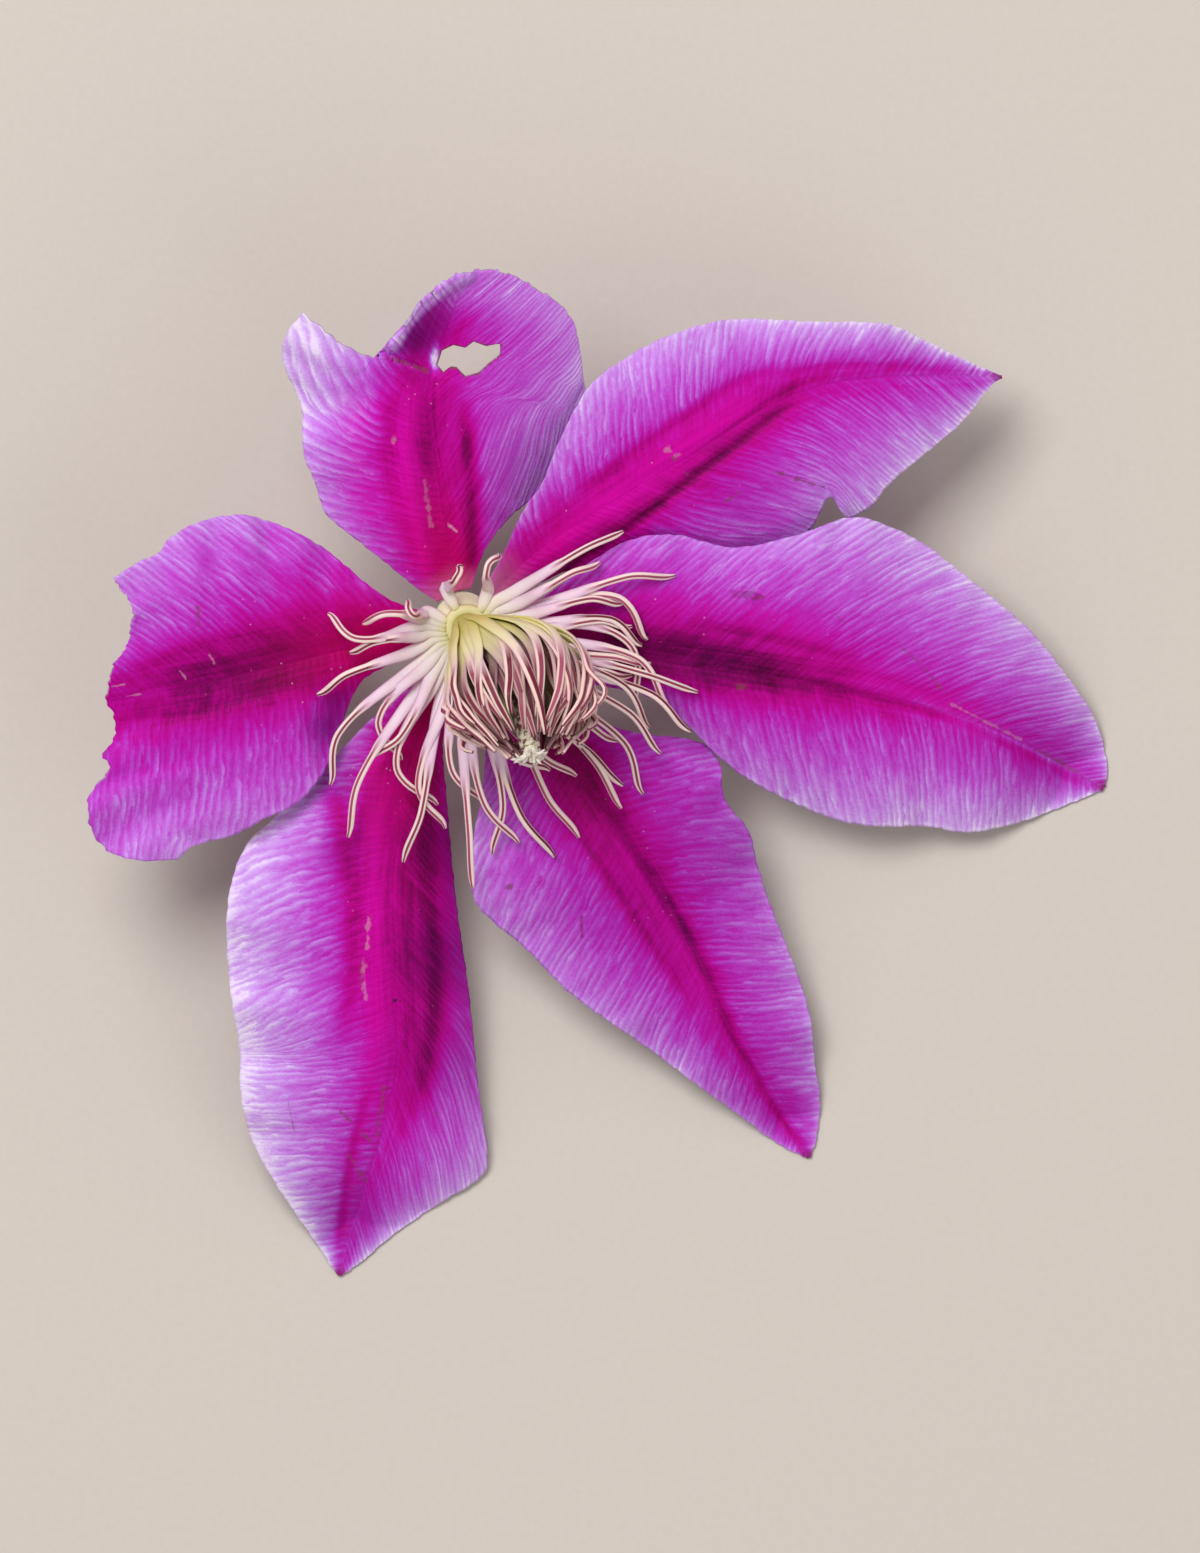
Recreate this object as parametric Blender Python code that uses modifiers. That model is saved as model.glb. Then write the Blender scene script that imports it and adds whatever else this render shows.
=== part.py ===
"""A large-flowered clematis bloom, picked with a short stalk and laid face up on a flat surface.

Metres, +Z up. The origin is the middle of the bloom's outline, on the surface that it lies on.
Lengths in the tables are millimetres, measured in plan from the heart of the bloom, where the
tepals meet. Their heights are measured from the bloom's own plane, which leans to the lower right.
"""

import math
import random
from dataclasses import dataclass

import bmesh
import bpy
import numpy as np
from mathutils import Matrix, Vector

MM = 0.001

# The heart of the bloom: its place over the surface, and how far its plane leans and which way.
HEART = (-15.4, 17.6, 21.0)
LEAN_DEG = 16.0
LEAN_TOWARDS_DEG = -63.0

# Tepals: blade thickness, the cells of each blade's grid, and the bow of its cross-section.
BLADE_THICKNESS = 0.7
CELLS_ACROSS = 10
CELLS_ALONG = 22
CUP_POWER = 1.7
BLADE_BOW = 0.9
TORN_REACH = 3.0

# The receptacle's profile, as radius and height along the bloom's axis, and the stalk below it.
RECEPTACLE = ((0.0, 2.0), (2.6, 2.0), (3.1, 1.2), (3.1, -1.0), (2.4, -3.0), (1.5, -4.6), (0.0, -5.2))
RECEPTACLE_SIDES = 20
STALK_RADIUS = 1.15
STALK_ROUTE = (
    (-0.3, 0.6, -3.0),
    (-1.1, 2.4, -7.4),
    (-2.3, 5.5, -12.6),
    (-4.2, 10.2, -17.2),
    (-6.4, 15.6, -19.4),
    (-8.2, 21.0, -19.85),
    (-9.6, 27.5, -19.85),
)
STALK_POINTS = 22

# The rings that carry the stamens: inner and outer radius, then foot and top along the axis.
OUTER_RING = (1.9, 3.0, 2.3, 3.9)
INNER_RING = (1.9, 3.0, 4.6, 6.0)
RING_SIDES = 24

# Stamens: a filament narrows into a thinner anther.
FILAMENT_RADIUS = 0.48
ANTHER_RADIUS = 0.40
ANTHER_START = 0.5
STAMEN_POINTS = 8

# Each outer stamen leaves its ring at one bearing and ends at another, so far from the heart.
OUTER_STAMENS = (
    (188, 177, 15.7), (212, 207, 18.8), (224, 231, 24.4), (237, 242, 28.0), (231, 246, 18.0),
    (245, 262, 22.0), (254, 256, 28.4), (259, 265, 24.4), (269, 272, 30.3), (274, 284, 26.2),
    (281, 277, 26.9), (286, 291, 28.9), (299, 298, 28.1), (307, 314, 26.2), (312, 310, 27.9),
    (320, 316, 28.8), (328, 326, 27.3), (336, 330, 24.8), (333, 334, 29.2), (346, 338, 25.5),
    (342, 343, 27.7), (359, 334, 22.6), (355, 352, 21.0), (368, 354, 21.7), (370, 372, 24.8),
    (389, 389, 20.7), (408, 422, 9.0), (480, 450, 6.5), (526, 520, 7.0),
)
OUTER_LIFT = 6.8
OUTER_TIP_LIFT = 5.6
LIFT_SPREAD = 0.5
OUTER_SEED = 11

# The column that the inner stamens close round, as places from the heart, and their bulb.
COLUMN_ROUTE = (
    (0.3, -0.6, 2.4), (0.9, -1.7, 6.6), (3.3, -4.0, 10.8), (6.4, -8.4, 14.6), (7.7, -15.0, 18.0)
)
BULB_PROFILE = ((0.24, 3.6), (0.34, 5.2), (0.48, 7.2), (0.62, 7.9), (0.80, 6.6), (0.93, 4.0))
INNER_STAMEN_COUNT = 20
INNER_SEED = 5

# The pistil: its foot stands in the rings, and its styles end in a tuft.
PISTIL_PROFILE = ((0.0, 1.4), (0.24, 1.4), (0.42, 2.2), (0.75, 1.7), (0.97, 1.1))
STYLE_COUNT = 9
STYLE_RADIUS = 0.32
STYLE_LENGTH = 3.4


@dataclass(frozen=True)
class Tepal:
    """A blade lofted over its midrib between two margins, each a row of (x, y, height) places.

    The margins are named as seen from the claw looking to the tip. A torn blade has no tip: its
    torn edge runs from the end of the left margin, through the midrib's, to the right margin's.
    """

    name: str
    midrib: tuple
    left: tuple
    right: tuple
    torn: tuple = ()


TEPALS = (
    Tepal(
        "tepal_top",
        midrib=((-0.6, 3.4, 0.0), (-1.7, 9.0, 1.0), (-3.0, 17.0, 2.4), (-4.0, 25.0, 4.0),
                (-2.5, 31.0, 5.2), (0.5, 38.8, 8.5)),
        left=((-2.9, 2.1, 0.0), (-5.4, 3.8, 0.4), (-8.6, 6.4, 0.9), (-12.0, 9.1, 1.2),
              (-15.4, 12.0, 0.8), (-16.6, 15.4, 1.8), (-17.9, 18.8, 2.8), (-18.2, 24.0, 1.6),
              (-20.2, 29.0, 3.0), (-19.8, 32.0, 4.4), (-17.9, 34.4, 5.2)),
        right=((0.9, 3.6, 0.0), (2.6, 8.2, 0.4), (5.6, 12.0, 0.0), (10.0, 15.4, -0.6),
               (12.2, 19.6, -0.8), (13.8, 24.2, 0.4), (13.4, 27.2, 2.0)),
        torn=((-17.9, 34.4, 5.2), (-14.8, 31.8, 4.4), (-12.2, 30.1, 3.6), (-10.4, 29.5, 3.2),
              (-8.5, 29.6, 3.2), (-7.5, 31.4, 5.0), (-6.1, 33.4, 7.0), (-4.6, 35.6, 8.4),
              (-2.4, 37.6, 8.8), (0.5, 38.9, 8.5), (4.1, 39.0, 7.2), (6.8, 37.9, 6.0),
              (9.8, 36.1, 5.2), (12.0, 34.2, 4.4), (12.9, 31.4, 3.4), (13.4, 27.2, 2.0)),
    ),
    Tepal(
        "tepal_upper_right",
        midrib=((2.7, 2.2, 0.0), (8.0, 7.5, 1.2), (16.0, 13.0, 2.0), (24.5, 18.0, 2.2),
                (32.5, 23.0, 1.4), (40.0, 26.4, 0.0), (49.0, 27.6, -2.6), (61.0, 27.5, -7.5)),
        left=((1.9, 3.0, 0.0), (4.6, 7.6, 1.6), (6.6, 12.0, 2.8), (9.0, 15.6, 3.4),
              (10.6, 19.6, 3.6), (14.0, 26.0, 3.4), (18.5, 29.6, 1.4), (23.5, 32.1, 2.2),
              (30.0, 33.8, 0.2), (39.5, 33.6, -0.6), (47.5, 33.4, -2.4), (51.5, 31.8, -4.2),
              (57.0, 29.2, -6.0), (61.0, 27.5, -7.5)),
        right=((3.5, 1.4, 0.0), (8.5, 4.2, -0.2), (14.0, 6.0, -0.6), (22.0, 7.2, -0.8),
               (31.0, 6.6, -1.0), (36.0, 7.4, -1.2), (39.2, 10.4, -1.0), (41.3, 14.0, -0.6),
               (43.3, 11.6, -1.8), (46.0, 13.0, -1.6), (48.2, 15.6, -1.8), (52.5, 19.2, -3.0),
               (56.2, 22.4, -4.6), (59.4, 26.4, -6.6), (61.0, 27.5, -7.5)),
    ),
    Tepal(
        "tepal_right",
        midrib=((3.4, -0.8, 0.0), (9.0, -2.0, 1.4), (16.0, -3.5, 2.4), (27.5, -5.5, 3.0),
                (39.5, -7.2, 2.2), (52.0, -9.6, -0.6), (60.5, -12.6, -3.6), (66.5, -15.6, -6.8),
                (72.7, -19.0, -10.6)),
        left=((3.6, 0.4, 0.0), (7.6, 1.8, 1.2), (11.0, 4.0, 2.4), (15.0, 7.0, 3.0),
              (19.0, 9.1, 3.0), (24.0, 9.6, 2.6), (30.5, 8.2, 2.4), (37.5, 9.6, 2.8),
              (43.5, 11.6, 1.4), (47.5, 10.8, 0.8), (52.0, 8.6, -0.8), (56.5, 5.2, -1.6),
              (60.5, 2.0, -2.8), (64.5, -1.6, -3.8), (68.5, -6.6, -5.4), (71.4, -11.0, -6.8),
              (72.8, -15.8, -8.0), (72.7, -19.0, -10.6)),
        right=((3.2, -2.0, 0.0), (8.0, -4.2, 0.8), (13.5, -6.8, 1.2), (20.4, -8.4, 1.0),
               (24.5, -11.0, 0.8), (28.5, -15.0, 0.2), (33.0, -18.4, -0.6), (41.0, -22.1, -1.8),
               (46.5, -23.2, -1.6), (52.0, -23.2, -3.2), (57.0, -23.9, -3.6), (62.0, -23.0, -5.4),
               (66.5, -21.5, -6.8), (72.7, -19.0, -10.6)),
    ),
    Tepal(
        "tepal_lower_right",
        midrib=((2.0, -2.8, 0.0), (5.5, -7.5, 0.8), (11.0, -14.0, 1.4), (16.0, -21.5, 1.8),
                (21.0, -29.0, 1.8), (25.0, -36.5, 1.6), (29.5, -45.5, 1.0), (34.5, -53.4, -0.4),
                (39.2, -61.0, -4.4)),
        left=((3.1, -2.4, 0.0), (7.5, -6.4, -0.6), (13.0, -10.4, -1.2), (19.0, -12.6, -1.4),
              (26.2, -13.6, -1.8), (28.9, -16.0, -1.0), (29.4, -20.0, 0.4), (32.2, -23.8, 0.6),
              (33.0, -27.0, -0.2), (34.6, -32.0, 0.6), (37.6, -39.6, 0.0), (39.2, -45.0, 0.8),
              (39.7, -50.0, -0.2), (40.3, -54.2, -0.8), (40.0, -58.2, -1.8), (39.2, -61.0, -4.4)),
        right=((1.1, -3.4, 0.0), (2.4, -8.0, 0.0), (2.6, -14.0, 0.2), (2.0, -20.0, 0.6),
               (1.0, -25.0, 1.8), (0.6, -28.4, 2.2), (1.4, -31.8, 1.2), (3.6, -34.2, 0.0),
               (7.0, -37.0, -0.4), (11.5, -41.6, 0.6), (16.0, -45.0, 0.8), (21.0, -48.4, 0.0),
               (26.0, -52.2, 0.4), (31.0, -55.8, -0.4), (35.4, -59.1, -1.4), (39.2, -61.0, -4.4)),
    ),
    Tepal(
        "tepal_bottom",
        midrib=((-0.4, -3.4, 0.0), (-2.6, -8.5, 0.6), (-6.0, -15.5, 1.4), (-8.2, -28.0, 2.2),
                (-8.0, -41.0, 2.0), (-7.6, -50.0, 0.8), (-9.5, -58.6, -1.4), (-12.0, -66.4, -4.6),
                (-14.2, -74.4, -7.8)),
        left=((0.8, -3.4, 0.0), (-0.5, -8.0, -0.6), (-2.2, -13.0, -1.2), (-2.0, -19.5, -1.8),
              (-1.0, -31.0, -2.8), (0.5, -42.0, -3.0), (1.6, -53.0, -2.8), (2.6, -60.2, -3.4),
              (1.8, -63.0, -3.8), (-2.6, -65.8, -4.0), (-8.0, -69.5, -4.4), (-11.4, -72.4, -5.2),
              (-14.2, -74.4, -7.8)),
        right=((-1.6, -3.2, 0.0), (-6.0, -7.5, -0.8), (-11.0, -11.8, -1.4), (-16.5, -17.5, -1.8),
               (-20.5, -21.6, -1.6), (-24.2, -25.0, -0.6), (-26.0, -29.0, 1.2), (-26.7, -33.5, 2.0),
               (-26.6, -38.5, 0.2), (-26.1, -43.5, 1.4), (-25.3, -48.5, -0.6), (-25.2, -53.5, 0.4),
               (-24.0, -58.6, -1.6), (-21.6, -63.2, -2.0), (-19.0, -67.2, -3.6),
               (-16.4, -71.0, -4.6), (-14.2, -74.4, -7.8)),
    ),
    Tepal(
        "tepal_left",
        midrib=((-3.4, -0.6, 0.0), (-9.0, -2.2, 1.0), (-17.0, -4.2, 1.8), (-28.0, -6.8, 2.4),
                (-40.0, -9.0, 3.8)),
        left=((-3.2, -1.8, 0.0), (-8.2, -4.8, 0.6), (-11.4, -6.8, 0.9), (-13.2, -10.2, 1.0),
              (-14.4, -14.4, 1.4), (-16.8, -18.6, 2.2), (-19.4, -21.0, 2.4), (-22.5, -22.4, 2.8),
              (-26.0, -24.2, 2.2), (-30.4, -25.4, 3.0), (-32.2, -26.9, 3.4)),
        right=((-3.4, 0.6, 0.0), (-8.0, 2.2, 0.8), (-11.2, 4.4, 1.4), (-15.0, 7.6, 1.0),
               (-18.6, 9.8, 2.2), (-21.5, 11.0, 1.6), (-24.6, 11.8, 2.8), (-28.0, 11.5, 1.8),
               (-31.0, 10.4, 2.8), (-33.2, 9.0, 2.4), (-34.2, 7.6, 2.6), (-37.0, 6.2, 3.6), (-39.4, 4.6, 4.4)),
        torn=((-32.2, -26.9, 3.4), (-37.4, -26.9, 4.4), (-40.9, -25.2, 3.4), (-42.2, -21.6, 4.8),
              (-41.8, -19.4, 3.6), (-39.6, -16.6, 3.8), (-40.6, -15.3, 3.6), (-39.2, -13.4, 2.8),
              (-39.3, -10.8, 3.2), (-40.0, -9.0, 3.8), (-39.4, -5.6, 4.2), (-37.6, -2.4, 3.2),
              (-37.1, 0.6, 3.8), (-37.6, 2.4, 3.6), (-39.4, 4.6, 4.4)),
    ),
)

# The hole that an insect has eaten through the upper tepal, in plan from the heart.
EATEN_HOLE = ((-2.9, 28.6), (-2.4, 30.2), (-1.0, 30.9), (0.3, 30.6), (1.2, 31.3),
              (2.6, 30.8), (4.2, 31.1), (4.2, 29.7), (3.0, 28.8), (1.8, 27.7),
              (0.3, 27.3), (-0.7, 28.3), (-1.4, 28.4), (-2.2, 27.8))
HOLE_CUTTER_DEPTH = 24.0

# Colours as linear light, with the roughness of each finish.
ORCHID = ((0.47, 0.03, 0.48), 0.5)
STALK_GREEN = ((0.19, 0.20, 0.06), 0.55)
ROSE_CREAM = ((0.70, 0.40, 0.38), 0.55)
ANTHER_ROSE = ((0.42, 0.15, 0.17), 0.55)
STYLE_CREAM = ((0.78, 0.70, 0.50), 0.6)


class Guide:
    """A smooth curve through its points, read by the share of its length."""

    STEPS = 12

    def __init__(self, points):
        places = np.array(points, float)
        padded = np.vstack([2 * places[0] - places[1], places, 2 * places[-1] - places[-2]])
        steps = np.linspace(0.0, 1.0, self.STEPS, endpoint=False)[:, None]
        spans = [self.span(*padded[i : i + 4], steps) for i in range(len(places) - 1)]
        self.line = np.vstack(spans + [places[-1:]])
        lengths = np.linalg.norm(np.diff(self.line, axis=0), axis=1)
        self.shares = np.concatenate([[0.0], np.cumsum(lengths)]) / lengths.sum()

    @staticmethod
    def span(before, start, end, after, step):
        """The Catmull-Rom curve from start to end."""
        return 0.5 * (
            2 * start
            + (end - before) * step
            + (2 * before - 5 * start + 4 * end - after) * step**2
            + (3 * start - before - 3 * end + after) * step**3
        )

    def at(self, share):
        """The place, or places, at this share of the length."""
        columns = [np.interp(share, self.shares, column) for column in self.line.T]
        return np.stack(columns, axis=-1)

    def nearest(self, place):
        """The share of the length at which the curve comes nearest to a place."""
        gaps = np.linalg.norm(self.line - np.array(place), axis=1)
        return float(self.shares[gaps.argmin()])


def lean_height(x, y):
    """The height of the bloom's leaning plane over its heart, at a place in plan."""
    towards = math.radians(LEAN_TOWARDS_DEG)
    along = x * math.cos(towards) + y * math.sin(towards)
    return -math.tan(math.radians(LEAN_DEG)) * along


def bloom_matrix():
    """Turns +Z to the bloom's axis, with its origin at the heart, in metres."""
    towards = math.radians(LEAN_TOWARDS_DEG)
    hinge = Vector((-math.sin(towards), math.cos(towards), 0.0))
    turn = Matrix.Rotation(math.radians(LEAN_DEG), 4, hinge)
    return Matrix.Translation(Vector(HEART) * MM) @ turn


def from_heart(place):
    """A place in millimetres from the heart, as world metres."""
    return (Vector(HEART) + Vector(place)) * MM


def tepal_place(tepal, guides, across, along):
    """A place on the middle surface of a blade, in world metres.

    across runs from -1 at the left margin to 1 at the right, along from 0 at the claw to 1.
    """
    midrib = guides["midrib"].at(along)
    margin = guides["left" if across < 0 else "right"].at(along)
    reach = abs(across)
    place = midrib + (margin - midrib) * reach
    width = np.linalg.norm((margin - midrib)[:2])
    bow = BLADE_BOW * min(1.0, width / 12.0) * math.sin(math.pi * reach)
    place[2] = midrib[2] + (margin[2] - midrib[2]) * reach**CUP_POWER + bow
    if tepal.torn:
        ends = np.array([tepal.left[-1], tepal.midrib[-1], tepal.right[-1]])
        corner = ends[0] if across < 0 else ends[2]
        straight = ends[1] + (corner - ends[1]) * reach
        middle = guides["torn"].nearest(ends[1])
        share = np.interp(across, (-1.0, 0.0, 1.0), (0.0, middle, 1.0))
        place += (guides["torn"].at(share) - straight) * along**TORN_REACH
    height = HEART[2] + lean_height(place[0], place[1]) + place[2]
    height = max(height, BLADE_THICKNESS / 2)
    return Vector((HEART[0] + place[0], HEART[1] + place[1], height)) * MM


def finish_material(name, finish):
    """A Principled material of one colour and roughness."""
    colour, roughness = finish
    material = bpy.data.materials.new(name)
    material.use_nodes = True
    shader = material.node_tree.nodes["Principled BSDF"]
    shader.inputs["Base Color"].default_value = (*colour, 1.0)
    shader.inputs["Roughness"].default_value = roughness
    shader.inputs["Metallic"].default_value = 0.0
    return material


def add_object(name, mesh, collection, material=None):
    """Links a new object for the mesh, with its material."""
    thing = bpy.data.objects.new(name, mesh)
    collection.objects.link(thing)
    if material:
        mesh.materials.clear()
        mesh.materials.append(material)
    return thing


def evaluated_mesh(thing):
    """The mesh of an object with its modifiers or curve bevel, welded, in the object's space."""
    bpy.context.view_layer.update()
    graph = bpy.context.evaluated_depsgraph_get()
    mesh = bpy.data.meshes.new_from_object(thing.evaluated_get(graph))
    shape = bmesh.new()
    shape.from_mesh(mesh)
    bmesh.ops.remove_doubles(shape, verts=shape.verts, dist=0.001 * MM)
    bmesh.ops.recalc_face_normals(shape, faces=shape.faces)
    shape.to_mesh(mesh)
    shape.free()
    return mesh


def make_solid(thing, collection):
    """Replaces a curve or modified object by a plain mesh object in the same place."""
    solid = add_object(thing.name + "_solid", evaluated_mesh(thing), collection)
    solid.matrix_world = thing.matrix_world.copy()
    bpy.data.objects.remove(thing)
    return solid


def make_tube(name, points, radii, collection, resolution=0):
    """A closed tube through world points, with a radius in metres at each of them."""
    curve = bpy.data.curves.new(name, "CURVE")
    curve.dimensions = "3D"
    curve.bevel_depth = 1.0
    curve.bevel_resolution = resolution
    curve.use_fill_caps = True
    spline = curve.splines.new("POLY")
    spline.points.add(len(points) - 1)
    for node, point, radius in zip(spline.points, points, radii):
        node.co = (*point, 1.0)
        node.radius = radius
    thing = bpy.data.objects.new(name, curve)
    collection.objects.link(thing)
    return make_solid(thing, collection)


def make_turned(name, profile, sides, place, collection, closed=False):
    """A solid turned from a profile of (radius, height) in millimetres, placed by a matrix."""
    shape = bmesh.new()
    corners = [shape.verts.new((radius * MM, 0.0, height * MM)) for radius, height in profile]
    for start, end in zip(corners, corners[1:]):
        shape.edges.new((start, end))
    if closed:
        shape.edges.new((corners[-1], corners[0]))
    mesh = bpy.data.meshes.new(name)
    shape.to_mesh(mesh)
    shape.free()
    thing = add_object(name, mesh, collection)
    screw = thing.modifiers.new("Turn", "SCREW")
    screw.steps = sides
    screw.render_steps = sides
    screw.use_merge_vertices = True
    screw.merge_threshold = 0.01 * MM
    thing.matrix_world = place
    return make_solid(thing, collection)


def make_ring(name, ring, collection):
    """A flat ring round the bloom's axis."""
    inner, outer, foot, top = ring
    profile = ((inner, top), (outer, top), (outer, foot), (inner, foot))
    return make_turned(name, profile, RING_SIDES, bloom_matrix(), collection, closed=True)


def fuse(name, base, repeats, material, collection):
    """Joins the repeats to their base with one Boolean union, and removes the collection."""
    bpy.context.view_layer.update()
    union = base.modifiers.new("Join", "BOOLEAN")
    union.operation = "UNION"
    union.operand_type = "COLLECTION"
    union.collection = repeats
    union.solver = "EXACT"
    joined = add_object(name, evaluated_mesh(base), collection, material)
    joined.matrix_world = base.matrix_world.copy()
    for thing in [base, *repeats.objects]:
        bpy.data.objects.remove(thing)
    bpy.data.collections.remove(repeats)
    return joined


def new_collection(name):
    """A collection linked to the scene."""
    collection = bpy.data.collections.new(name)
    bpy.context.scene.collection.children.link(collection)
    return collection


def make_tepal(tepal, material, collection):
    """A thin blade: its grid is bent to the loft, split into triangles and given its thickness."""
    guides = {"midrib": Guide(tepal.midrib), "left": Guide(tepal.left), "right": Guide(tepal.right)}
    if tepal.torn:
        guides["torn"] = Guide(tepal.torn)
    shape = bmesh.new()
    bmesh.ops.create_grid(shape, x_segments=CELLS_ACROSS, y_segments=CELLS_ALONG, size=1.0)
    for corner in shape.verts:
        corner.co = tepal_place(tepal, guides, corner.co.x, (corner.co.y + 1) / 2)
    bmesh.ops.remove_doubles(shape, verts=shape.verts, dist=0.01 * MM)
    mesh = bpy.data.meshes.new(tepal.name)
    shape.to_mesh(mesh)
    shape.free()
    mesh.shade_smooth()
    blade = add_object(tepal.name, mesh, collection, material)
    blade.modifiers.new("Split", "TRIANGULATE")
    thickness = blade.modifiers.new("Thickness", "SOLIDIFY")
    thickness.thickness = BLADE_THICKNESS * MM
    thickness.offset = 0.0
    return blade


def cut_eaten_hole(blade, cutters):
    """Cuts the eaten hole through a blade with an upright prism."""
    curve = bpy.data.curves.new("eaten_hole", "CURVE")
    curve.dimensions = "2D"
    curve.fill_mode = "BOTH"
    curve.extrude = HOLE_CUTTER_DEPTH / 2 * MM
    spline = curve.splines.new("POLY")
    spline.points.add(len(EATEN_HOLE) - 1)
    for node, (x, y) in zip(spline.points, EATEN_HOLE):
        node.co = (x * MM, y * MM, 0.0, 1.0)
    spline.use_cyclic_u = True
    thing = bpy.data.objects.new("eaten_hole_outline", curve)
    cutters.objects.link(thing)
    x, y = EATEN_HOLE[0]
    thing.matrix_world = Matrix.Translation(from_heart((0.0, 0.0, lean_height(x, y))))
    cutter = make_solid(thing, cutters)
    cutter.hide_render = True
    cutter.display_type = "WIRE"
    hole = blade.modifiers.new("Hole", "BOOLEAN")
    hole.operation = "DIFFERENCE"
    hole.object = cutter
    hole.solver = "EXACT"


def stamen_radii(count):
    """The radius at each point of a stamen: a filament, then its thinner anther."""
    shares = np.linspace(0.0, 1.0, count)
    return np.interp(shares, (0.0, ANTHER_START, 1.0), (FILAMENT_RADIUS, ANTHER_RADIUS, 0.3)) * MM


def outer_stamen_points(leaving, ending, reach, lift_change):
    """The run of an outer stamen from inside its ring to its anther's tip."""
    root = OUTER_RING[1] + 1.0
    tip_lift = OUTER_TIP_LIFT + lift_change
    lifts = (3.4, 4.4, OUTER_LIFT + lift_change, OUTER_LIFT + lift_change, tip_lift)
    points = [ring_place(OUTER_RING, math.radians(leaving))]
    for share in np.linspace(0.0, 1.0, STAMEN_POINTS - 1):
        bearing = math.radians(leaving + (ending - leaving) * share**2)
        far = root + (reach - root) * share
        x, y = far * math.cos(bearing), far * math.sin(bearing)
        lift = np.interp(share, (0.0, 0.16, 0.4, 0.7, 1.0), lifts)
        points.append(from_heart((x, y, lean_height(x, y) + lift)))
    return points


def make_outer_stamens(material, collection):
    """The splayed stamens, rooted in their ring."""
    draw = random.Random(OUTER_SEED)
    repeats = new_collection("outer_stamen_repeats")
    for leaving, ending, reach in OUTER_STAMENS:
        change = draw.uniform(-LIFT_SPREAD, LIFT_SPREAD)
        points = outer_stamen_points(leaving, ending, reach, change)
        make_tube("stamen", points, stamen_radii(len(points)), repeats)
    ring = make_ring("outer_ring", OUTER_RING, collection)
    return fuse("outer_stamens", ring, repeats, material, collection)


def column_frame(column, share):
    """The place on the column at this share, and two directions across it."""
    place = Vector(column.at(share))
    ahead = Vector(column.at(min(1.0, share + 0.02))) - Vector(column.at(max(0.0, share - 0.02)))
    other = ahead.cross(Vector((1.0, 0.0, 0.0))).normalized()
    return place, other.cross(ahead).normalized(), other


def ring_place(ring, bearing):
    """A place low in a ring's solid, at a bearing round the bloom's axis, in world metres."""
    inner, outer, foot, top = ring
    middle, height = (inner + outer) / 2, (foot + top) / 2
    return bloom_matrix() @ (Vector((middle * math.cos(bearing), middle * math.sin(bearing), height)) * MM)


def around_column(column, share, radius, bearing):
    """A place at a radius and bearing round the column, in world metres."""
    place, side, other = column_frame(column, share)
    offset = side * math.cos(bearing) + other * math.sin(bearing)
    return from_heart(place + offset * radius)


def make_inner_stamens(material, collection):
    """The incurved stamens that close round the pistil, rooted in their ring."""
    draw = random.Random(INNER_SEED)
    column = Guide(COLUMN_ROUTE)
    shares, radii = zip(*BULB_PROFILE)
    repeats = new_collection("inner_stamen_repeats")
    for index in range(INNER_STAMEN_COUNT):
        bearing = math.tau * index / INNER_STAMEN_COUNT
        swell = 1.0 + draw.uniform(-0.05, 0.05)
        last = shares[-1] - (0.09 if index % 2 else 0.0)
        points = [ring_place(INNER_RING, bearing)]
        for run in np.linspace(shares[0], last, STAMEN_POINTS):
            radius = np.interp(run, shares, radii) * swell
            points.append(around_column(column, run, radius, bearing))
        make_tube("stamen", points, stamen_radii(len(points)), repeats)
    ring = make_ring("inner_ring", INNER_RING, collection)
    return fuse("inner_stamens", ring, repeats, material, collection)


def make_pistil(material, collection):
    """The carpels' column and the tuft of styles at its top."""
    column = Guide(COLUMN_ROUTE)
    shares, radii = zip(*PISTIL_PROFILE)
    runs = np.linspace(0.0, shares[-1], 10)
    points = [from_heart(column.at(run)) for run in runs]
    core = make_tube("core", points, np.interp(runs, shares, radii) * MM, collection, resolution=2)
    repeats = new_collection("style_repeats")
    top, side, other = column_frame(column, 0.95)
    ahead = Vector(column.at(1.0)) - Vector(column.at(0.9))
    ahead.normalize()
    for index in range(STYLE_COUNT):
        bearing = math.tau * index / STYLE_COUNT
        outwards = side * math.cos(bearing) + other * math.sin(bearing)
        spread = 0.75 if index % 2 else 0.4
        run = [top - ahead * 1.0 + outwards * 0.3]
        run += [top + ahead * STYLE_LENGTH * 0.5 + outwards * spread * 1.2]
        run += [top + ahead * STYLE_LENGTH * 0.8 + outwards * spread * STYLE_LENGTH]
        places = [from_heart(place) for place in run]
        make_tube("style", places, [STYLE_RADIUS * MM] * len(places), repeats)
    return fuse("pistil", core, repeats, material, collection)


def make_stalk(material, collection):
    """The cut stalk and the receptacle at its top, as one solid."""
    route = Guide(STALK_ROUTE)
    points = [from_heart(place) for place in route.at(np.linspace(0.0, 1.0, STALK_POINTS))]
    radii = [STALK_RADIUS * MM] * len(points)
    repeats = new_collection("stalk_run")
    make_tube("stalk_run", points, radii, repeats, resolution=3)
    head = make_turned("receptacle", RECEPTACLE, RECEPTACLE_SIDES, bloom_matrix(), collection)
    return fuse("stalk", head, repeats, material, collection)


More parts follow.
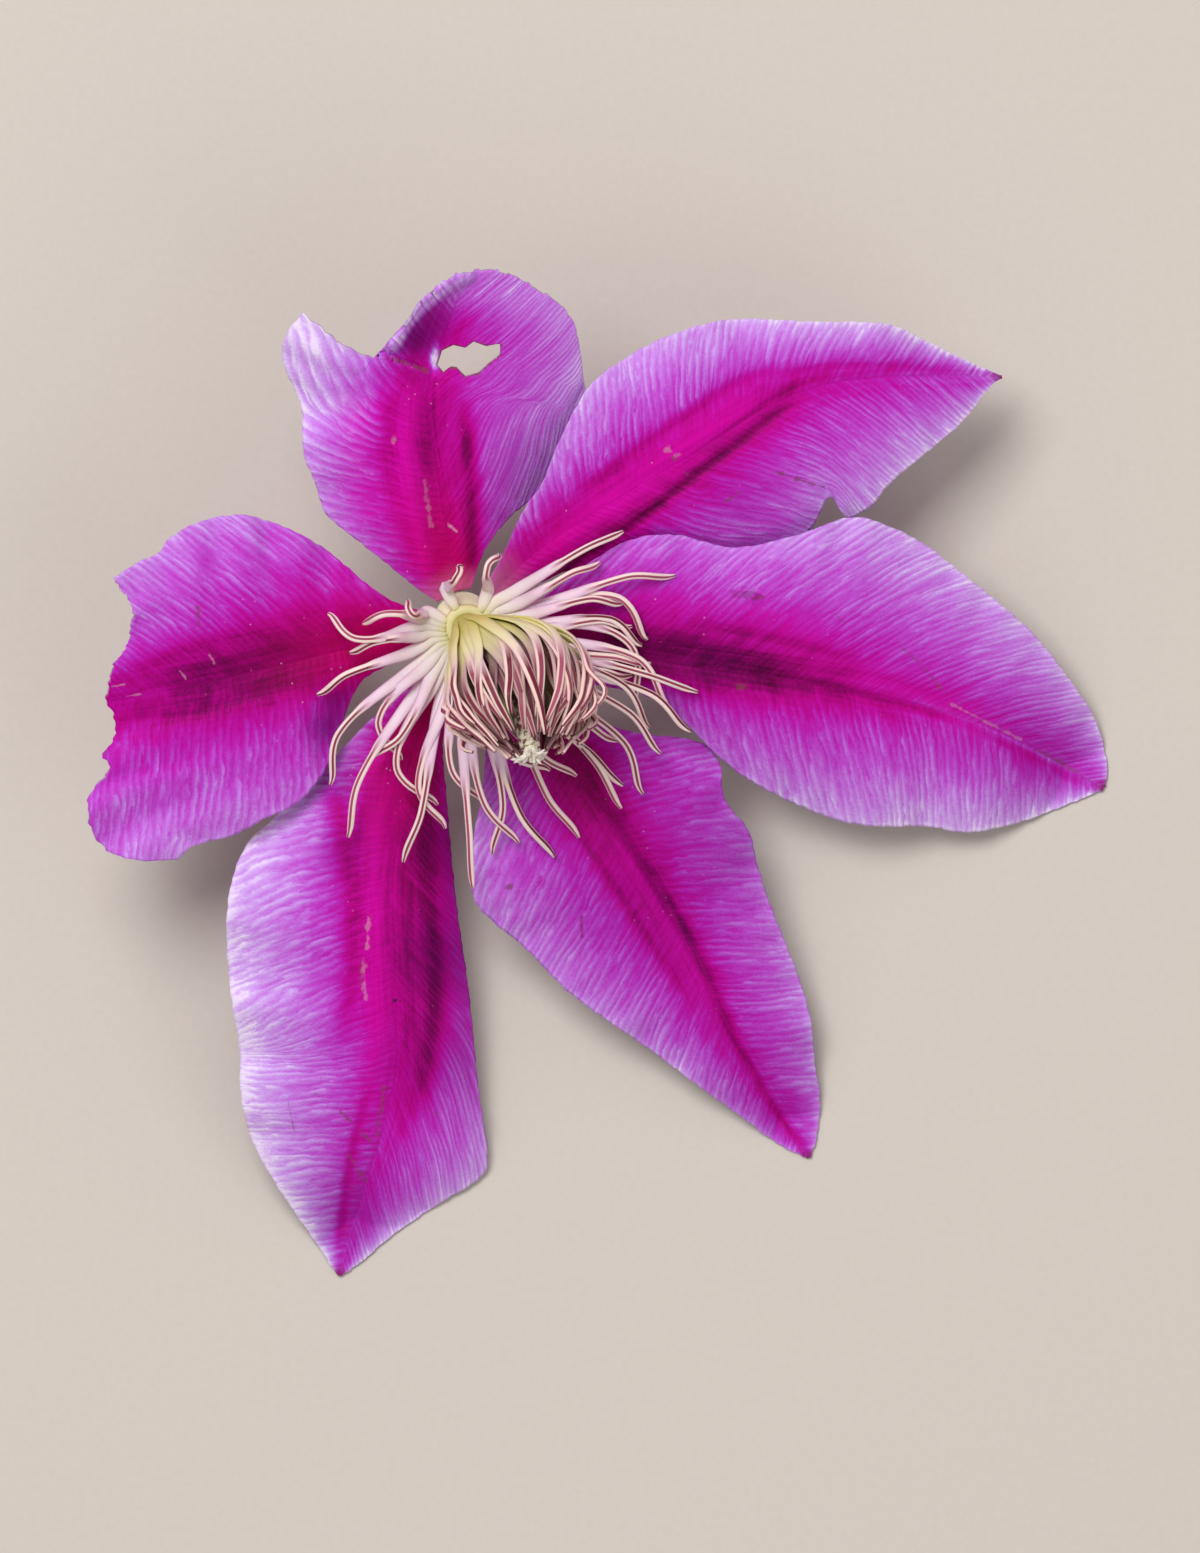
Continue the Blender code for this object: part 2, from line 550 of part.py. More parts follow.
def main():
    """Builds the bloom."""
    for thing in list(bpy.data.objects):
        bpy.data.objects.remove(thing)
    bloom = new_collection("clematis_bloom")
    cutters = new_collection("cutters")
    make_stalk(finish_material("stalk", STALK_GREEN), bloom)
    orchid = finish_material("tepal", ORCHID)
    blades = {tepal.name: make_tepal(tepal, orchid, bloom) for tepal in TEPALS}
    cut_eaten_hole(blades["tepal_top"], cutters)
    make_outer_stamens(finish_material("filament", ROSE_CREAM), bloom)
    make_inner_stamens(finish_material("anther", ANTHER_ROSE), bloom)
    make_pistil(finish_material("style", STYLE_CREAM), bloom)


main()
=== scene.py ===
"""The looks of a picked clematis bloom that lies face up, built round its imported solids.

Every table is in millimetres, measured in plan from the heart of the bloom, where its tepals meet.
Heights in the tables are measured from the bloom's own plane, which leans to the lower right.
"""

import logging
import math
import random
from dataclasses import dataclass, field
from enum import Enum

import bpy
import numpy as np
from mathutils import Matrix, Vector


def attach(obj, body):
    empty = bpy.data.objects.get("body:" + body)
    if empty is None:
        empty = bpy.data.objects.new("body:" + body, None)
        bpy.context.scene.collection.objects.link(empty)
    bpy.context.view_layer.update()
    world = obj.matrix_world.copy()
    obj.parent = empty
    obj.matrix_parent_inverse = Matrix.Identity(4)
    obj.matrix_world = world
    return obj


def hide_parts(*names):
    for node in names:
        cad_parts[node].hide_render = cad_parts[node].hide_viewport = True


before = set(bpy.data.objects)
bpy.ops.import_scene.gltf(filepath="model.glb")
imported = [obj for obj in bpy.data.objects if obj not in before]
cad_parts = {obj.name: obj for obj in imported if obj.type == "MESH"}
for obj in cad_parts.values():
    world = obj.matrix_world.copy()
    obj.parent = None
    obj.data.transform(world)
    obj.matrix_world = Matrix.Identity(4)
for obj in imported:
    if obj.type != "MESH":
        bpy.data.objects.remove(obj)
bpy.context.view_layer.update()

LOG = logging.getLogger("clematis")
MM = 0.001
BODY = "root"

# How many places are measured against a line at once.
BATCH = 4000
# The half width of the furrow along an anther, as a share of the anther's own.
FURROW = 0.35

# The heart of the bloom over the surface, and how far its plane leans and which way.
HEART = np.array((-15.4, 17.6, 21.0))
LEAN = math.radians(16.0)
LEAN_TOWARDS = math.radians(-63.0)

Places = tuple[tuple[float, float, float], ...]
Socket = bpy.types.NodeSocket


def linear(code: str) -> tuple[float, float, float, float]:
    """Turns an sRGB hex colour to linear light.

    Args:
        code: the colour as "#RRGGBB".

    Returns:
        Red, green, blue and an alpha of 1.
    """
    parts = [int(code[i : i + 2], 16) / 255 for i in (1, 3, 5)]
    light = [p / 12.92 if p <= 0.04045 else ((p + 0.055) / 1.055) ** 2.4 for p in parts]
    return (*light, 1.0)


def add_node(tree: bpy.types.NodeTree, kind: str, inputs: dict | None = None, out: int | str = 0,
             **settings: object) -> Socket | bpy.types.Node:
    """Adds a shader node with its settings and links.

    Args:
        tree: the node tree it goes in.
        kind: the node's type, without its ShaderNode prefix.
        inputs: for each input, by name or number, a value or the socket that feeds it.
        out: the output that is wanted, by name or number.
        **settings: the node's own settings; stops gives a colour ramp its (place, hex) stops.

    Returns:
        The wanted output socket, or the node itself where it has no outputs.
    """
    node = tree.nodes.new("ShaderNode" + kind)
    stops = settings.pop("stops", ())
    for name, value in settings.items():
        setattr(node, name, value)
    for index, (place, code) in enumerate(stops):
        elements = node.color_ramp.elements
        element = elements[index] if index < 2 else elements.new(place)
        element.position = place
        element.color = linear(code)
    for key, value in (inputs or {}).items():
        if isinstance(value, bpy.types.NodeSocket):
            tree.links.new(value, node.inputs[key])
        else:
            node.inputs[key].default_value = value
    return node.outputs[out] if len(node.outputs) else node


def patterned(place: Socket, size_mm: float, **inputs: float) -> dict[str, Socket | float]:
    """The inputs that give a pattern its real size in millimetres, with any others that it takes."""
    return {"Vector": place, "Scale": 1 / (size_mm * MM), **inputs}


def read_fields(tree: bpy.types.NodeTree, *names: str) -> dict[str, Socket]:
    """Adds a node for each of these per-vertex values, and gives their sockets by name."""
    return {name: add_node(tree, "Attribute", out="Fac", attribute_name=name) for name in names}


def lean_height(x: np.ndarray, y: np.ndarray) -> np.ndarray:
    """The height of the bloom's leaning plane over its heart, at places in plan."""
    return -math.tan(LEAN) * (x * math.cos(LEAN_TOWARDS) + y * math.sin(LEAN_TOWARDS))


def bloom_axis_places(places: np.ndarray) -> np.ndarray:
    """Turns places given round an upright axis to the bloom's leaning axis.

    Args:
        places: the places from the heart, as rows of x, y and z.

    Returns:
        The turned places, still from the heart.
    """
    hinge = Vector((-math.sin(LEAN_TOWARDS), math.cos(LEAN_TOWARDS), 0.0))
    turn = np.array(Matrix.Rotation(LEAN, 3, hinge))
    return np.asarray(places) @ turn.T


def ease(low: float, high: float, value: np.ndarray) -> np.ndarray:
    """A smooth step from 0 at low to 1 at high."""
    share = np.clip((value - low) / (high - low), 0.0, 1.0)
    return share * share * (3 - 2 * share)


class Guide:
    """A smooth curve through its points, read by the share of its length."""

    def __init__(self, points: Places | np.ndarray, steps: int = 16) -> None:
        """Lays a Catmull-Rom curve through the points.

        Args:
            points: the places that it runs through.
            steps: how many straight steps each span between two points is made of.
        """
        places = np.array(points, float)
        padded = np.vstack([2 * places[0] - places[1], places, 2 * places[-1] - places[-2]])
        step = np.linspace(0.0, 1.0, steps, endpoint=False)[:, None]
        spans = [self._span(*padded[i : i + 4], step) for i in range(len(places) - 1)]
        self.line = np.vstack(spans + [places[-1:]])
        lengths = np.linalg.norm(np.diff(self.line, axis=0), axis=1)
        self.length = float(lengths.sum())
        self.shares = np.concatenate([[0.0], np.cumsum(lengths)]) / self.length

    @staticmethod
    def _span(before: np.ndarray, start: np.ndarray, end: np.ndarray, after: np.ndarray,
              step: np.ndarray) -> np.ndarray:
        """The curve from one point to the next.

        Args:
            before: the point before the span.
            start: the span's first point.
            end: its last point.
            after: the point after it.
            step: steps between 0 and 1, as a column.

        Returns:
            The places at those steps.
        """
        return 0.5 * (
            2 * start
            + (end - before) * step
            + (2 * before - 5 * start + 4 * end - after) * step**2
            + (3 * start - before - 3 * end + after) * step**3
        )

    def at(self, share: np.ndarray | float) -> np.ndarray:
        """The places at these shares of the length."""
        return np.stack([np.interp(share, self.shares, column) for column in self.line.T], axis=-1)

    def foot(self, plan: np.ndarray, beyond: float = 20.0) -> tuple[np.ndarray, np.ndarray]:
        """Drops each place in plan squarely onto the curve, run on straight at both of its ends.

        Args:
            plan: the places, as (..., 2) in millimetres.
            beyond: how far the curve runs on at each end.

        Returns:
            The run along the curve to each foot, and how far each place is from its foot.
        """
        line = self.line[:, :2]
        head = line[0] - unit(line[1] - line[0]) * beyond
        tail = line[-1] + unit(line[-1] - line[-2]) * beyond
        line = np.vstack([head, line, tail])
        step = np.diff(line, axis=0)
        reach = np.linalg.norm(step, axis=1)
        before = np.concatenate([[0.0], np.cumsum(reach)[:-1]]) - beyond
        places = plan.reshape(-1, 2)
        run, gap = np.empty(len(places)), np.empty(len(places))
        for first in range(0, len(places), BATCH):
            batch = slice(first, first + BATCH)
            rel = places[batch, None] - line[None, :-1]
            share = np.clip((rel * step).sum(axis=-1) / reach**2, 0.0, 1.0)
            away = np.linalg.norm(rel - step * share[..., None], axis=-1)
            best = away.argmin(axis=1)
            row = np.arange(len(rel))
            run[batch] = (before + share * reach)[row, best]
            gap[batch] = away[row, best]
        return run.reshape(plan.shape[:-1]), gap.reshape(plan.shape[:-1])


class Waves:
    """A smooth uneven wave: a few sines of given lengths, with starts drawn from a seed."""

    # The sum of the sines, over the root of their number, seldom swings further than this.
    SWING = 1.4

    def __init__(self, seed: int, lengths: tuple[float, ...]) -> None:
        """Draws a start for a sine of each of these wavelengths."""
        draw = random.Random(seed)
        self.sines = [(length, draw.uniform(0, math.tau)) for length in lengths]

    def at(self, run: np.ndarray) -> np.ndarray:
        """The wave's height, within about 1 either way, at these places along it."""
        total = sum(np.sin(math.tau * run / length + start) for length, start in self.sines)
        return total / len(self.sines) ** 0.5 / self.SWING


@dataclass
class MeshWork:
    """Vertices, faces and per-vertex values that are gathered into one mesh."""

    places: list = field(default_factory=list)
    faces: list = field(default_factory=list)
    values: dict = field(default_factory=dict)
    count: int = 0

    def add(self, places: np.ndarray, faces: list, **values: np.ndarray) -> None:
        """Adds a body.

        Args:
            places: its vertices in millimetres, in the world.
            faces: its faces, as tuples of its own vertex numbers.
            **values: a value for each vertex, by attribute name.
        """
        self.places.append(places)
        self.faces.extend(tuple(int(i) + self.count for i in face) for face in faces)
        for name, value in values.items():
            self.values.setdefault(name, []).append(np.broadcast_to(value, len(places)))
        self.count += len(places)

    def build(self, name: str, material: bpy.types.Material, slot: str, *nodes: str) -> bpy.types.Object:
        """Makes the mesh object, dresses it, and lets it stand for CAD nodes.

        Args:
            name: the piece's name.
            material: its material.
            slot: a material slot's name, which is not used.
            *nodes: the CAD nodes that it replaces.

        Returns:
            The finished piece, riding on the object's body.
        """
        mesh = bpy.data.meshes.new(name)
        mesh.from_pydata((np.vstack(self.places) * MM).tolist(), [], self.faces)
        for key, value in self.values.items():
            layer = mesh.attributes.new(key, "FLOAT", "POINT")
            layer.data.foreach_set("value", np.concatenate(value).astype(np.float32))
        mesh.update()
        mesh.shade_smooth()
        mesh.materials.append(material)
        piece = bpy.data.objects.new(name, mesh)
        bpy.context.scene.collection.objects.link(piece)
        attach(piece, BODY)
        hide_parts(*nodes)
        LOG.info("%s: %d faces", name, len(mesh.polygons))
        return piece


def unit(vectors: np.ndarray) -> np.ndarray:
    """Vectors brought to a length of 1."""
    return vectors / np.maximum(np.linalg.norm(vectors, axis=-1, keepdims=True), 1e-9)


def sweep(path: np.ndarray, facing: np.ndarray, across: np.ndarray, depth: np.ndarray, sides: int,
          groove: np.ndarray | float = 0.0) -> tuple[np.ndarray, list, dict]:
    """Sweeps a flattened round section along a path, closed at both ends.

    Args:
        path: the middle of each section.
        facing: the direction that each section's flat side looks in.
        across: half of each section's width.
        depth: half of each section's depth.
        sides: how many sides a section has.
        groove: the share of the depth that a furrow along the flat side takes away.

    Returns:
        The vertices, the faces, and the values run and across of each vertex.
    """
    ahead = unit(np.gradient(path, axis=0))
    side = unit(np.cross(ahead, np.broadcast_to(facing, ahead.shape)))
    up = np.cross(side, ahead)
    angle = np.arange(sides) * math.tau / sides
    wide, high = np.cos(angle), np.sin(angle)
    furrow = np.exp(-((wide / FURROW) ** 2)) * (high > 0)
    dip = 1 - np.multiply.outer(np.broadcast_to(groove, len(path)), furrow)
    rings = (
        path[:, None]
        + side[:, None] * (across[:, None] * wide)[..., None]
        + up[:, None] * (depth[:, None] * high * dip)[..., None]
    )
    places = np.vstack([rings.reshape(-1, 3), path[:1], path[-1:]])
    rows = len(path)
    first, last = rows * sides, rows * sides + 1
    faces = []
    for row in range(rows - 1):
        for k in range(sides):
            n = (k + 1) % sides
            faces.append((row * sides + k, row * sides + n, (row + 1) * sides + n, (row + 1) * sides + k))
    for k in range(sides):
        n = (k + 1) % sides
        faces.append((first, n, k))
        faces.append((last, (rows - 1) * sides + k, (rows - 1) * sides + n))
    run = np.repeat(np.linspace(0.0, 1.0, rows), sides)
    values = {
        "run": np.append(run, (0.0, 1.0)),
        "across": np.append(np.tile(wide, rows), (0.0, 0.0)),
    }
    return places, faces, values


# ----- Finishes ----------------------------------------


class Blemish(Enum):
    """Small marks that weather and insects leave, with the colour that each dries to."""

    SCRATCH = "#7B4238"
    SCAR = "#D294B4"
    SPECK = "#1C1016"
    BRUISE = "#74104A"


SCRATCH, SCAR, SPECK, BRUISE = Blemish


@dataclass(frozen=True)
class Mark:
    """A mark on a blade: a short line in plan, in millimetres from the heart."""

    kind: Blemish
    start: tuple[float, float]
    end: tuple[float, float]
    half_width: float = 0.2
    share: float = 0.8


class Finish:
    """What every finish shares: a named material, whose nodes each finish lays for itself."""

    name: str

    def build(self) -> bpy.types.Material:
        """Makes the material.

        Returns:
            The material, dressed with its nodes.
        """
        material = bpy.data.materials.new(self.name)
        material.use_nodes = True
        material.node_tree.nodes.clear()
        self.dress(material.node_tree)
        return material

    def dress(self, tree: bpy.types.NodeTree) -> None:
        """Lays the material's nodes in its empty tree, as each finish does in its own way."""
        raise NotImplementedError


@dataclass(frozen=True)
class TepalSkin(Finish):
    """Living tepal tissue: thin, soft and satiny, with pigment laid in streaks along its veins.

    The streaks are what gives it life: the magenta of the bar feathers out between the side veins
    into orchid and then into a pale lilac margin. Water-filled cells give it a low, broad gloss.
    """

    name: str
    marks: tuple[Mark, ...] = ()

    # Side veins stand just under a millimetre apart, and a streak between them runs 3 to 8 mm.
    VEIN_MM = 0.9
    STREAK_MM = 0.62
    STREAK_RUN_MM = 3.2
    # Fibres along the bar are finer still, and run for most of its length.
    FIBRE_MM = 0.55
    FIBRE_RUN_MM = 12.0
    CELL_MM = 0.34
    MARK_GRAIN_MM = 0.9
    DUST_MM = 1.4
    DUST_PATCH_MM = 7.0
    DUSTY_REACH_MM = (18.0, 40.0)
    DRIED_MM = (0.05, 0.42)

    # How far each pattern shifts the tone. A streak does so least in the dark of the bar, and most
    # in the fringe where the bar feathers out.
    STREAK_SHIFTS = (0.015, 0.085)
    FRINGE_SHIFT = 0.17
    BAND_SHIFT = 0.05
    FIBRE_SHIFT = 0.05
    CELL_SHIFT = 0.02
    # How far the broad and the fine noise bend the waves of the side veins, in radians.
    BAND_BEND = 2.1
    STREAK_BEND = 1.2
    # How far apart in the noise the patterns of two blades lie.
    SEED_STEP = 7.3

    # Tissue full of water bends light a little more than water does, and its wax dulls the gloss.
    IOR = 1.36
    SPECULAR = 0.1
    ROUGHNESS = (0.46, 0.62)
    RELIEF_MM = 0.14
    SCATTER_MM = 0.5

    FRONT_TONES = (
        (0.00, "#520034"),
        (0.12, "#8C0062"),
        (0.24, "#BC008A"),
        (0.36, "#C40CA6"),
        (0.48, "#C028BC"),
        (0.61, "#C44ED2"),
        (0.75, "#CC7EE6"),
        (0.88, "#D8AAF4"),
        (1.00, "#F2DEFF"),
    )
    BACK_TONES = ((0.00, "#B79A9C"), (0.20, "#B984B4"), (0.55, "#BE8FCE"), (1.00, "#D9C2EC"))
    CLAW = "#C2005A"
    # Vivid magenta on the bar's ridges: partly their own colour, partly painted highlight where they face
    # the light.
    RIDGE_MAGENTA_AND_HIGHLIGHT = "#E204AE"
    CLAW_FOOT = "#F0B4D0"
    DRIED = "#7A4630"
    TIP = "#7A1F3C"
    # Painted shade: a deep purple laid on spots where a blade lies in shade.
    PAINTED_SHADE = "#34004A"
    DUST = "#F0C8EC"

    def dress(self, tree: bpy.types.NodeTree) -> None:
        """Lays the material's nodes.

        Args:
            tree: its empty tree.
        """
        value = read_fields(tree, "tone", "rib_mm", "run_mm", "streak_mm", "reach_mm", "front", "claw",
                            "foot", "tip", "torn_mm", "painted_shade", "side", "bar", "ridge_magenta_and_highlight")

        streak, band = self._streaks(tree, value)
        fibre = self._stretched(tree, value["rib_mm"], self.FIBRE_MM, value["run_mm"], self.FIBRE_RUN_MM,
                                value["side"])
        place = add_node(tree, "TexCoord", out="Object")
        cells = add_node(tree, "TexNoise", patterned(place, self.CELL_MM, Detail=1.0))
        cells = add_node(tree, "MapRange", {0: cells, 1: 0.3, 2: 0.7, 3: -1.0, 4: 1.0})

        least, most = self.STREAK_SHIFTS
        shift = add_node(tree, "MapRange", {0: value["tone"], 1: 0.20, 2: 0.50, 3: least, 4: most})
        fringe = add_node(tree, "Math", {0: 1.0, 1: value["bar"]}, operation="SUBTRACT")
        fringe = add_node(tree, "Math", {0: fringe, 1: value["bar"]}, operation="MULTIPLY")
        shift = add_node(tree, "Math", {0: fringe, 1: self.FRINGE_SHIFT, 2: shift},
                         operation="MULTIPLY_ADD")
        in_bar = add_node(tree, "Math", {0: value["bar"], 1: self.FIBRE_SHIFT}, operation="MULTIPLY")
        tone = value["tone"]
        for pattern, change in ((streak, shift), (band, self.BAND_SHIFT), (fibre, in_bar)):
            tone = add_node(tree, "Math", {0: pattern, 1: change, 2: tone}, operation="MULTIPLY_ADD")
        tone = add_node(tree, "Math", {0: cells, 1: self.CELL_SHIFT, 2: tone}, operation="MULTIPLY_ADD",
                        use_clamp=True)
        colour = add_node(tree, "ValToRGB", {0: tone}, stops=self.FRONT_TONES)
        back = add_node(tree, "ValToRGB", {0: tone}, stops=self.BACK_TONES)
        colour = add_node(tree, "Mix", {0: value["front"], 6: back, 7: colour}, out=2, data_type="RGBA")

        narrow, wide = self.DRIED_MM
        dry_width = add_node(tree, "MapRange", {0: fibre, 1: -1.0, 2: 1.0, 3: narrow, 4: wide})
        dry = add_node(tree, "MapRange", {0: value["torn_mm"], 1: 0.0, 2: dry_width, 3: 0.85, 4: 0.0})
        # The ridge magenta, partly painted highlight, broken up by the fibres.
        ridge_magenta_and_highlight = add_node(tree, "MapRange", {0: fibre, 1: -1.0, 2: 1.0, 3: 0.55, 4: 1.0})
        ridge_magenta_and_highlight = add_node(tree, "Math", {0: ridge_magenta_and_highlight, 1: value["ridge_magenta_and_highlight"]}, operation="MULTIPLY")
        # Of these layers, the deep purple is painted shade.
        layers = [(ridge_magenta_and_highlight, self.RIDGE_MAGENTA_AND_HIGHLIGHT), (value["claw"], self.CLAW), (value["foot"], self.CLAW_FOOT),
                  (value["painted_shade"], self.PAINTED_SHADE)]
        for kind in (k for k in Blemish if any(mark.kind is k for mark in self.marks)):
            layers.append((self._marked(tree, place, kind, fibre), kind.value))
        layers += [(self._dusting(tree, place, value["run_mm"]), self.DUST), (dry, self.DRIED),
                   (value["tip"], self.TIP)]
        for share, code in layers:
            colour = add_node(tree, "Mix", {0: share, 6: colour, 7: linear(code)}, out=2, data_type="RGBA")

        height = add_node(tree, "Math", {0: cells, 1: 0.35, 2: streak}, operation="MULTIPLY_ADD")
        normal = add_node(tree, "Bump", {
            "Strength": 0.3, "Distance": self.RELIEF_MM * MM, "Height": height,
        })
        glossy, dull = self.ROUGHNESS
        rough = add_node(tree, "MapRange", {0: streak, 1: -1.0, 2: 1.0, 3: glossy, 4: dull})
        shader = add_node(tree, "BsdfPrincipled", {
            "Base Color": colour, "Roughness": rough, "IOR": self.IOR, "Specular IOR Level": self.SPECULAR,
            "Normal": normal, "Subsurface Weight": 0.1, "Subsurface Radius": (0.6, 0.25, 0.5),
            "Subsurface Scale": self.SCATTER_MM * MM,
        })
        add_node(tree, "OutputMaterial", {"Surface": shader})

    def _dusting(self, tree: bpy.types.NodeTree, place: Socket, run: Socket) -> Socket:
        """How strongly grains of pollen and dust show, in patches that thin out from the stamens.

        Args:
            tree: the material's nodes.
            place: the place on the object, in metres.
            run: how far out on the blade it is, in millimetres.

        Returns:
            The share's socket.
        """
        grains = add_node(tree, "TexVoronoi", patterned(place, self.DUST_MM), out="Distance")
        grains = add_node(tree, "MapRange", {0: grains, 1: 0.045, 2: 0.085, 3: 0.42, 4: 0.0})
        patch = add_node(tree, "TexNoise", patterned(place, self.DUST_PATCH_MM))
        patch = add_node(tree, "MapRange", {0: patch, 1: 0.50, 2: 0.58, 3: 0.0, 4: 1.0})
        dusty, clean = self.DUSTY_REACH_MM
        near = add_node(tree, "MapRange", {0: run, 1: dusty, 2: clean, 3: 1.0, 4: 0.2})
        seen = add_node(tree, "Math", {0: patch, 1: near}, operation="MULTIPLY")
        return add_node(tree, "Math", {0: grains, 1: seen}, operation="MULTIPLY")

    def _streaks(self, tree: bpy.types.NodeTree, value: dict[str, Socket]) -> tuple[Socket, Socket]:
        """Streaks along the side veins, fine and broad, each from -1 to 1.

        A fine streak is a wave one vein wide that a drawn-out noise bends and breaks off.

        Args:
            tree: the material's nodes.
            value: the fields, by name.

        Returns:
            The fine streaks and the broad bands.
        """
        across, along, side = value["streak_mm"], value["reach_mm"], value["side"]
        noise = self._stretched(tree, across, self.STREAK_MM, along, self.STREAK_RUN_MM, side)
        band = self._stretched(tree, across, self.STREAK_MM * 4, along, self.STREAK_RUN_MM * 1.4, side)
        turn = add_node(tree, "Math", {0: across, 1: math.tau / self.VEIN_MM}, operation="MULTIPLY")
        turn = add_node(tree, "Math", {0: band, 1: self.BAND_BEND, 2: turn}, operation="MULTIPLY_ADD")
        turn = add_node(tree, "Math", {0: noise, 1: self.STREAK_BEND, 2: turn}, operation="MULTIPLY_ADD")
        wave = add_node(tree, "Math", {0: turn}, operation="SINE")
        patchy = add_node(tree, "MapRange", {0: band, 1: -0.8, 2: 0.8, 3: 0.2, 4: 0.85})
        wave = add_node(tree, "Math", {0: wave, 1: patchy}, operation="MULTIPLY")
        return add_node(tree, "Math", {0: noise, 1: 0.7, 2: wave}, operation="MULTIPLY_ADD"), band

    @staticmethod
    def _stretched(tree: bpy.types.NodeTree, across: Socket, across_mm: float, along: Socket,
                   along_mm: float, seed: Socket) -> Socket:
        """A noise from -1 to 1 with its own grain across and along a direction.

        Args:
            tree: the material's nodes.
            across: the field in millimetres across the grain.
            across_mm: the grain's size across.
            along: the field in millimetres along the grain.
            along_mm: the grain's size along.
            seed: a field that sets one blade's and side's pattern apart from the others.

        Returns:
            The noise's socket.
        """
        place = add_node(tree, "CombineXYZ", {
            0: add_node(tree, "Math", {0: across, 1: 1 / across_mm}, operation="MULTIPLY"),
            1: add_node(tree, "Math", {0: along, 1: 1 / along_mm}, operation="MULTIPLY"),
            2: add_node(tree, "Math", {0: seed, 1: TepalSkin.SEED_STEP}, operation="MULTIPLY"),
        })
        noise = add_node(tree, "TexNoise", {
            "Vector": place, "Scale": 1.0, "Detail": 3.0, "Roughness": 0.58, "Distortion": 0.55,
        })
        return add_node(tree, "MapRange", {0: noise, 1: 0.33, 2: 0.67, 3: -1.0, 4: 1.0})

    def _marked(self, tree: bpy.types.NodeTree, place: Socket, kind: Blemish, wobble: Socket) -> Socket:
        """How strongly the marks of one kind show.

        Args:
            tree: the material's nodes.
            place: the place on the object, in metres.
            kind: the kind of mark.
            wobble: a noise that makes a mark uneven and breaks it up.

        Returns:
            The share's socket.
        """
        ragged = add_node(tree, "TexNoise", patterned(place, self.MARK_GRAIN_MM, Detail=2.0))
        ragged = add_node(tree, "MapRange", {0: ragged, 1: 0.36, 2: 0.64, 3: -1.0, 4: 1.0})
        wobble = add_node(tree, "Math", {0: wobble, 1: 0.4, 2: ragged}, operation="MULTIPLY_ADD")
        plan = add_node(tree, "VectorMath", {0: place, 1: (1 / MM, 1 / MM, 0.0)}, operation="MULTIPLY")
        total = None
        for mark in (m for m in self.marks if m.kind is kind):
            start = (HEART[0] + mark.start[0], HEART[1] + mark.start[1], 0.0)
            step = (mark.end[0] - mark.start[0], mark.end[1] - mark.start[1], 0.0)
            square = max(step[0] ** 2 + step[1] ** 2, 1e-4)
            rel = add_node(tree, "VectorMath", {0: plan, 1: start}, operation="SUBTRACT")
            share = add_node(tree, "VectorMath", {0: rel, 1: step}, out="Value", operation="DOT_PRODUCT")
            share = add_node(tree, "Math", {0: share, 1: 1 / square}, operation="MULTIPLY", use_clamp=True)
            walked = add_node(tree, "VectorMath", {0: step, "Scale": share}, operation="SCALE")
            gap = add_node(tree, "VectorMath", {0: rel, 1: walked}, out="Value", operation="DISTANCE")
            half = mark.half_width
            gap = add_node(tree, "Math", {0: wobble, 1: half * 0.8, 2: gap}, operation="MULTIPLY_ADD")
            seen = add_node(tree, "MapRange", {
                0: gap, 1: half * 0.2, 2: half * 1.2, 3: mark.share, 4: 0.0,
            })
            if total is not None:
                seen = add_node(tree, "Math", {0: total, 1: seen}, operation="MAXIMUM")
            total = seen
        return total


